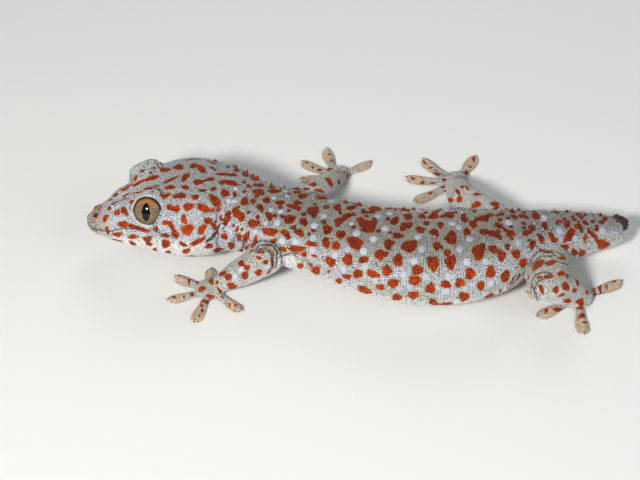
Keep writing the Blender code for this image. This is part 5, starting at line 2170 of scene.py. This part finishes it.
def lid_edge(middle, axis):
    """The thin raised edge of the lids round one eye."""
    first, second = spokes(axis)
    turns = np.linspace(0, 2 * math.pi, 96, endpoint=False)
    bends = np.linspace(0, 2 * math.pi, 8, endpoint=False)
    points, faces = [], []
    turn = EYE_OPENING_TURN + LID_EDGE_TURN
    for i, around in enumerate(turns):
        spoke = first * math.cos(around) + second * math.sin(around)
        core = middle + (axis * math.cos(turn) + spoke * math.sin(turn)) * LID_EDGE_FAR
        lip = 1 + 0.12 * math.sin(around * 24)
        for k, bend in enumerate(bends):
            points.append(core + (axis * math.sin(bend) + spoke * math.cos(bend)) * LID_EDGE_SIZE * lip)
            a, b = i * 8 + k, i * 8 + (k + 1) % 8
            c, d = (i + 1) % 96 * 8 + (k + 1) % 8, (i + 1) % 96 * 8 + k
            faces.append((a, b, c, d))
    return points, faces


edge_points, edge_faces = [], []
for middle, axis in eye_spots:
    points, faces = lid_edge(middle, axis)
    edge_faces += [tuple(len(edge_points) + k for k in face) for face in faces]
    edge_points += points
edge_mesh = mesh_of("lid_edges", edge_points, edge_faces)
outward(edge_mesh)
shade_smooth(edge_mesh)
edge_surface, tree, shader = plain_material("lid_edge_surface", (0.58, 0.54, 0.49), 0.5)
tint = between(tree, noise(tree, object_place(tree), 500.0, 2.0), 0.35, 0.65)
tree.links.new(blend_colours(tree, tint, (0.5, 0.49, 0.5), (0.3, 0.27, 0.24)), shader.inputs["Base Color"])
lid_edges = new_piece("lid_edges", edge_mesh, edge_surface)

# %% Plates along the lips
LIP_PLATE_LENGTH = 2.15
LIP_PLATE_GAP = 0.13
LIP_PLATE_BANDS = ((1.0, 0.2, 1.5), (-1.0, 0.2, 1.45))
LIP_PLATE_RISE = 0.3


def slab_faces(across, along):
    """Faces of a closed slab of two grids, the top one first."""
    size = across * along
    faces = []
    for i in range(across - 1):
        for j in range(along - 1):
            a, b, c, d = i * along + j, (i + 1) * along + j, (i + 1) * along + j + 1, i * along + j + 1
            faces += [(a, b, c, d), (size + d, size + c, size + b, size + a)]
    rim = [i * along for i in range(across)] + [(across - 1) * along + j for j in range(1, along)]
    rim += [i * along + along - 1 for i in range(across - 2, -1, -1)] + list(range(along - 2, 0, -1))
    faces += [(a, size + a, size + b, b) for a, b in zip(rim, rim[1:] + rim[:1])]
    return faces


def lip_plates():
    """Curved slabs in two bands along the whole mouth, tapering in height towards its corners."""
    travelled = travelled_along(lip_line)
    middle_arc = travelled[-1] / 2
    count = int((travelled[-1] - 1.5) / LIP_PLATE_LENGTH) // 2 * 2 + 1
    points, faces = [], []

    def lip_at(arc):
        return np.array([np.interp(arc, travelled, lip_line[:, k]) for k in range(3)])

    for band, low, high in LIP_PLATE_BANDS:
        for number in range(count):
            centre = middle_arc + (number - count // 2) * LIP_PLATE_LENGTH
            half = LIP_PLATE_LENGTH / 2 - LIP_PLATE_GAP
            taper = 1 - 0.45 * abs(centre - middle_arc) / middle_arc
            top, under = [], []
            for u in np.linspace(-1, 1, 6):
                base = lip_at(centre + u * half)
                ahead = unit(lip_at(centre + u * half + 0.4) - lip_at(centre + u * half - 0.4))
                place, normal, _, _ = skin_tree.find_nearest(Vector(base + np.array((0, 0, band * 0.8))))
                upward = np.cross(np.array(normal), ahead)
                upward = upward * (band * np.sign(upward[2]))
                for v in np.linspace(0, 1, 5):
                    guess = base + upward * (low + v * (high * taper - low))
                    place, normal, _, _ = skin_tree.find_nearest(Vector(guess))
                    rise = LIP_PLATE_RISE * (1 - u**4) ** 0.5 * (1 - (2 * v - 1) ** 4) ** 0.5
                    top.append(np.array(place) + np.array(normal) * (rise + 0.02))
                    under.append(np.array(place) - np.array(normal) * 0.3)
            first = len(points)
            points += top + under
            faces += [tuple(first + k for k in face) for face in slab_faces(6, 5)]
    mesh = mesh_of("lip_plates", points, faces)
    outward(mesh)
    shade_smooth(mesh)
    return mesh


def dress_with_tones(mesh):
    """Gives a finished mesh the markings at each of its points."""
    places = points_of(mesh)
    for tone, values in tones_at(places, normals_of(mesh)).items():
        add_values(mesh, tone, values)


lips = new_piece("lip_plates", lip_plates(), lip_surface)
dress_with_tones(lips.data)
print("lip plates:", len(lips.data.polygons), "faces")

# %% [markdown]
# Each toe ends in a small curved claw above its pad, and carries thin cross plates underneath,
# which are what lets a gecko cling. The foot rests on these plates.

# %% Claws and toe plates
# Each ring of a claw: how far past the toe, its height and its radius.
CLAW_BENDS = (
    (-0.6, 1.15, 0.34),
    (-0.1, 1.4, 0.32),
    (0.35, 1.3, 0.24),
    (0.75, 0.95, 0.14),
    (1.0, 0.55, 0.05),
)
CLAW_HORN = (0.16, 0.12, 0.09)
TOE_PLATES = 9


def claw_rings(root, ahead, length):
    across = sideways(ahead)
    turns = np.linspace(0, 2 * math.pi, 10, endpoint=False)
    rings = []
    for out, height, radius in CLAW_BENDS:
        middle = root + ahead * (length + out) + np.array((0, 0, height))
        level = np.outer(np.cos(turns) * radius * 0.75, across)
        rings.append(middle + level + np.outer(np.sin(turns) * radius, UP))
    return np.array(rings)


def toe_plate_points(root, ahead, length, width):
    """Corner points of the cross plates under one toe's pad, row after row."""
    across = sideways(ahead)
    table = np.array(TOE_SECTIONS)
    plates = []
    for share in np.linspace(0.46, 0.95, TOE_PLATES):
        half = read_curve(table[:, 0], table[:, 1:2], share)[0, 0] * width - 0.35
        top, under = [], []
        for u in np.linspace(-1, 1, 7):
            bow = -0.55 * u * u
            for out, rise in ((0.0, 0.3), (0.75, 0.16)):
                middle = root + ahead * (share * length + out + bow) + across * half * u
                top.append(middle + np.array((0, 0, rise)))
                under.append(middle + np.array((0, 0, rise - 0.16)))
        plates.append(top + under)
    return plates


claw_surface, _, _ = plain_material("claw_horn", CLAW_HORN, 0.35)
shell_points, shell_faces, plate_points, plate_faces = [], [], [], []
for root, ahead, length, width in TOE_LINES:
    rings = claw_rings(root, ahead, length)
    first = len(shell_points)
    shell_points += list(rings.reshape(-1, 3))
    shell_faces += [tuple(first + k for k in face) for face in tube_faces(rings.shape[0], rings.shape[1])]
    for plate in toe_plate_points(root, ahead, length, width):
        first = len(plate_points)
        plate_points += plate
        plate_faces += [tuple(first + k for k in face) for face in slab_faces(7, 2)]
claws_mesh = mesh_of("claws", shell_points, shell_faces)
outward(claws_mesh)
shade_smooth(claws_mesh)
claws = new_piece("claws", claws_mesh, claw_surface)
pad_surface, _, _ = plain_material("toe_pads", (0.6, 0.52, 0.44), 0.7)
plates_mesh = mesh_of("toe_plates", plate_points, plate_faces)
outward(plates_mesh)
toe_plates = new_piece("toe_plates", plates_mesh, pad_surface)
print("claws and plates:", len(claws_mesh.polygons), "and", len(plates_mesh.polygons), "faces")

# %% [markdown]
# The tail has broken off close to its root, as a tokay's does when it escapes. The wound has
# healed to a dark reddish bud, uneven and slightly moist, from which a new tail will grow.

# %% Tail bud
BUD_LUMPS = ((0.6, 0.3), (1.7, 0.16), (4.0, 0.07))
BUD_DARK, BUD_RED = (0.012, 0.006, 0.007), (0.085, 0.014, 0.013)


def bud_mesh():
    mesh = ball_mesh("bud", bud_middle, BUD_SIZE, segments=64, rings=40)
    points = points_of(mesh)
    for k, point in enumerate(points):
        lump = sum(mathutils_noise.noise(Vector(point) * fine) * size for fine, size in BUD_LUMPS)
        points[k] = bud_middle + (point - bud_middle) * (1.0 + lump)
    move_points(mesh, points)
    shade_smooth(mesh)
    return mesh


bud_surface, tree, shader = plain_material("bud_surface", (0.05, 0.012, 0.012), 0.42)
blotch = between(tree, noise(tree, object_place(tree), 700.0, 4.0, 0.6), 0.4, 0.62)
tree.links.new(blend_colours(tree, blotch, BUD_DARK, BUD_RED), shader.inputs["Base Color"])
bud = new_piece("bud", bud_mesh(), bud_surface)
print("bud:", len(bud.data.polygons), "faces")

# %% [markdown]
# The skin is last thinned to fewer faces, since the scales now carry its detail, and then takes
# the same tones as they do.

# %% The finished skin
SKIN_SHARE = 0.46
with_modifier(flesh, "DECIMATE", ratio=SKIN_SHARE)
flesh.name = "gecko_skin"
flesh.data.name = "gecko_skin"
shade_smooth(flesh.data)
flesh.data.materials.clear()
flesh.data.materials.append(skin_surface)
dress_with_tones(flesh.data)
print("skin:", len(flesh.data.polygons), "faces")

# %% [markdown]
# A plain pale floor and soft lights, large and near, as in a studio.

# %% Floor and lights
FLOOR_HALF = 900.0
corners = [(x * FLOOR_HALF, y * FLOOR_HALF, 0) for x, y in ((-1, -1), (1, -1), (1, 1), (-1, 1))]
floor_mesh = mesh_of("floor", corners, [(0, 1, 2, 3)])
floor_surface, _, _ = plain_material("floor_surface", (0.72, 0.72, 0.7), 0.85)
floor = new_piece("floor", floor_mesh, floor_surface)
floor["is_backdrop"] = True

SKY_COLOUR, SKY_STRENGTH = (0.9, 0.93, 1.0, 1.0), 0.21
# Each light: its place and width in mm, its power and its colour.
LIGHTS = (
    ("key_light", (-260, -600, 520), 130, 7.4, (1.0, 0.98, 0.95)),
    ("fill_light", (480, -240, 380), 500, 1.0, (0.95, 0.97, 1.0)),
    ("back_light", (60, 520, 460), 420, 1.1, (1.0, 1.0, 1.0)),
)
for name, place, width, power, colour in LIGHTS:
    light = bpy.data.lights.new(name, "AREA")
    light.shape = "DISK"
    light.size = width * MM
    light.energy = power
    light.color = colour
    lamp = bpy.data.objects.new(name, light)
    lamp.location = Vector(place) * MM
    lamp.rotation_mode = "QUATERNION"
    lamp.rotation_quaternion = (Vector((0, 0, 0.01)) - lamp.location).to_track_quat("-Z", "Y")
    bpy.context.scene.collection.objects.link(lamp)
world = bpy.data.worlds.new("studio")
world.use_nodes = True
backdrop = world.node_tree.nodes["Background"].inputs
backdrop["Color"].default_value = SKY_COLOUR
backdrop["Strength"].default_value = SKY_STRENGTH
bpy.context.scene.world = world
bpy.context.scene.view_settings.view_transform = "Standard"
print("lights:", len(LIGHTS))

# %% [markdown]
# Every piece moves with the single body. The skin stands for all the nodes of flesh, and the
# eyes and the bud for their own.

# %% Pieces and nodes
flesh_nodes = [name for name in nodes if not name.startswith(("eye", "tail_bud"))]
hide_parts(*flesh_nodes)
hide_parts("eye_left")
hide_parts("eye_right")
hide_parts("tail_bud")
for piece in [flesh, lips, lid_edges, claws, toe_plates, bud, *eyes, *coat]:
    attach(piece, "root")

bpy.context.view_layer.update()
triangles = {piece.name: sum(len(face.vertices) - 2 for face in piece.data.polygons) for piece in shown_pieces()}
print("triangles:", triangles, "in all", sum(triangles.values()))
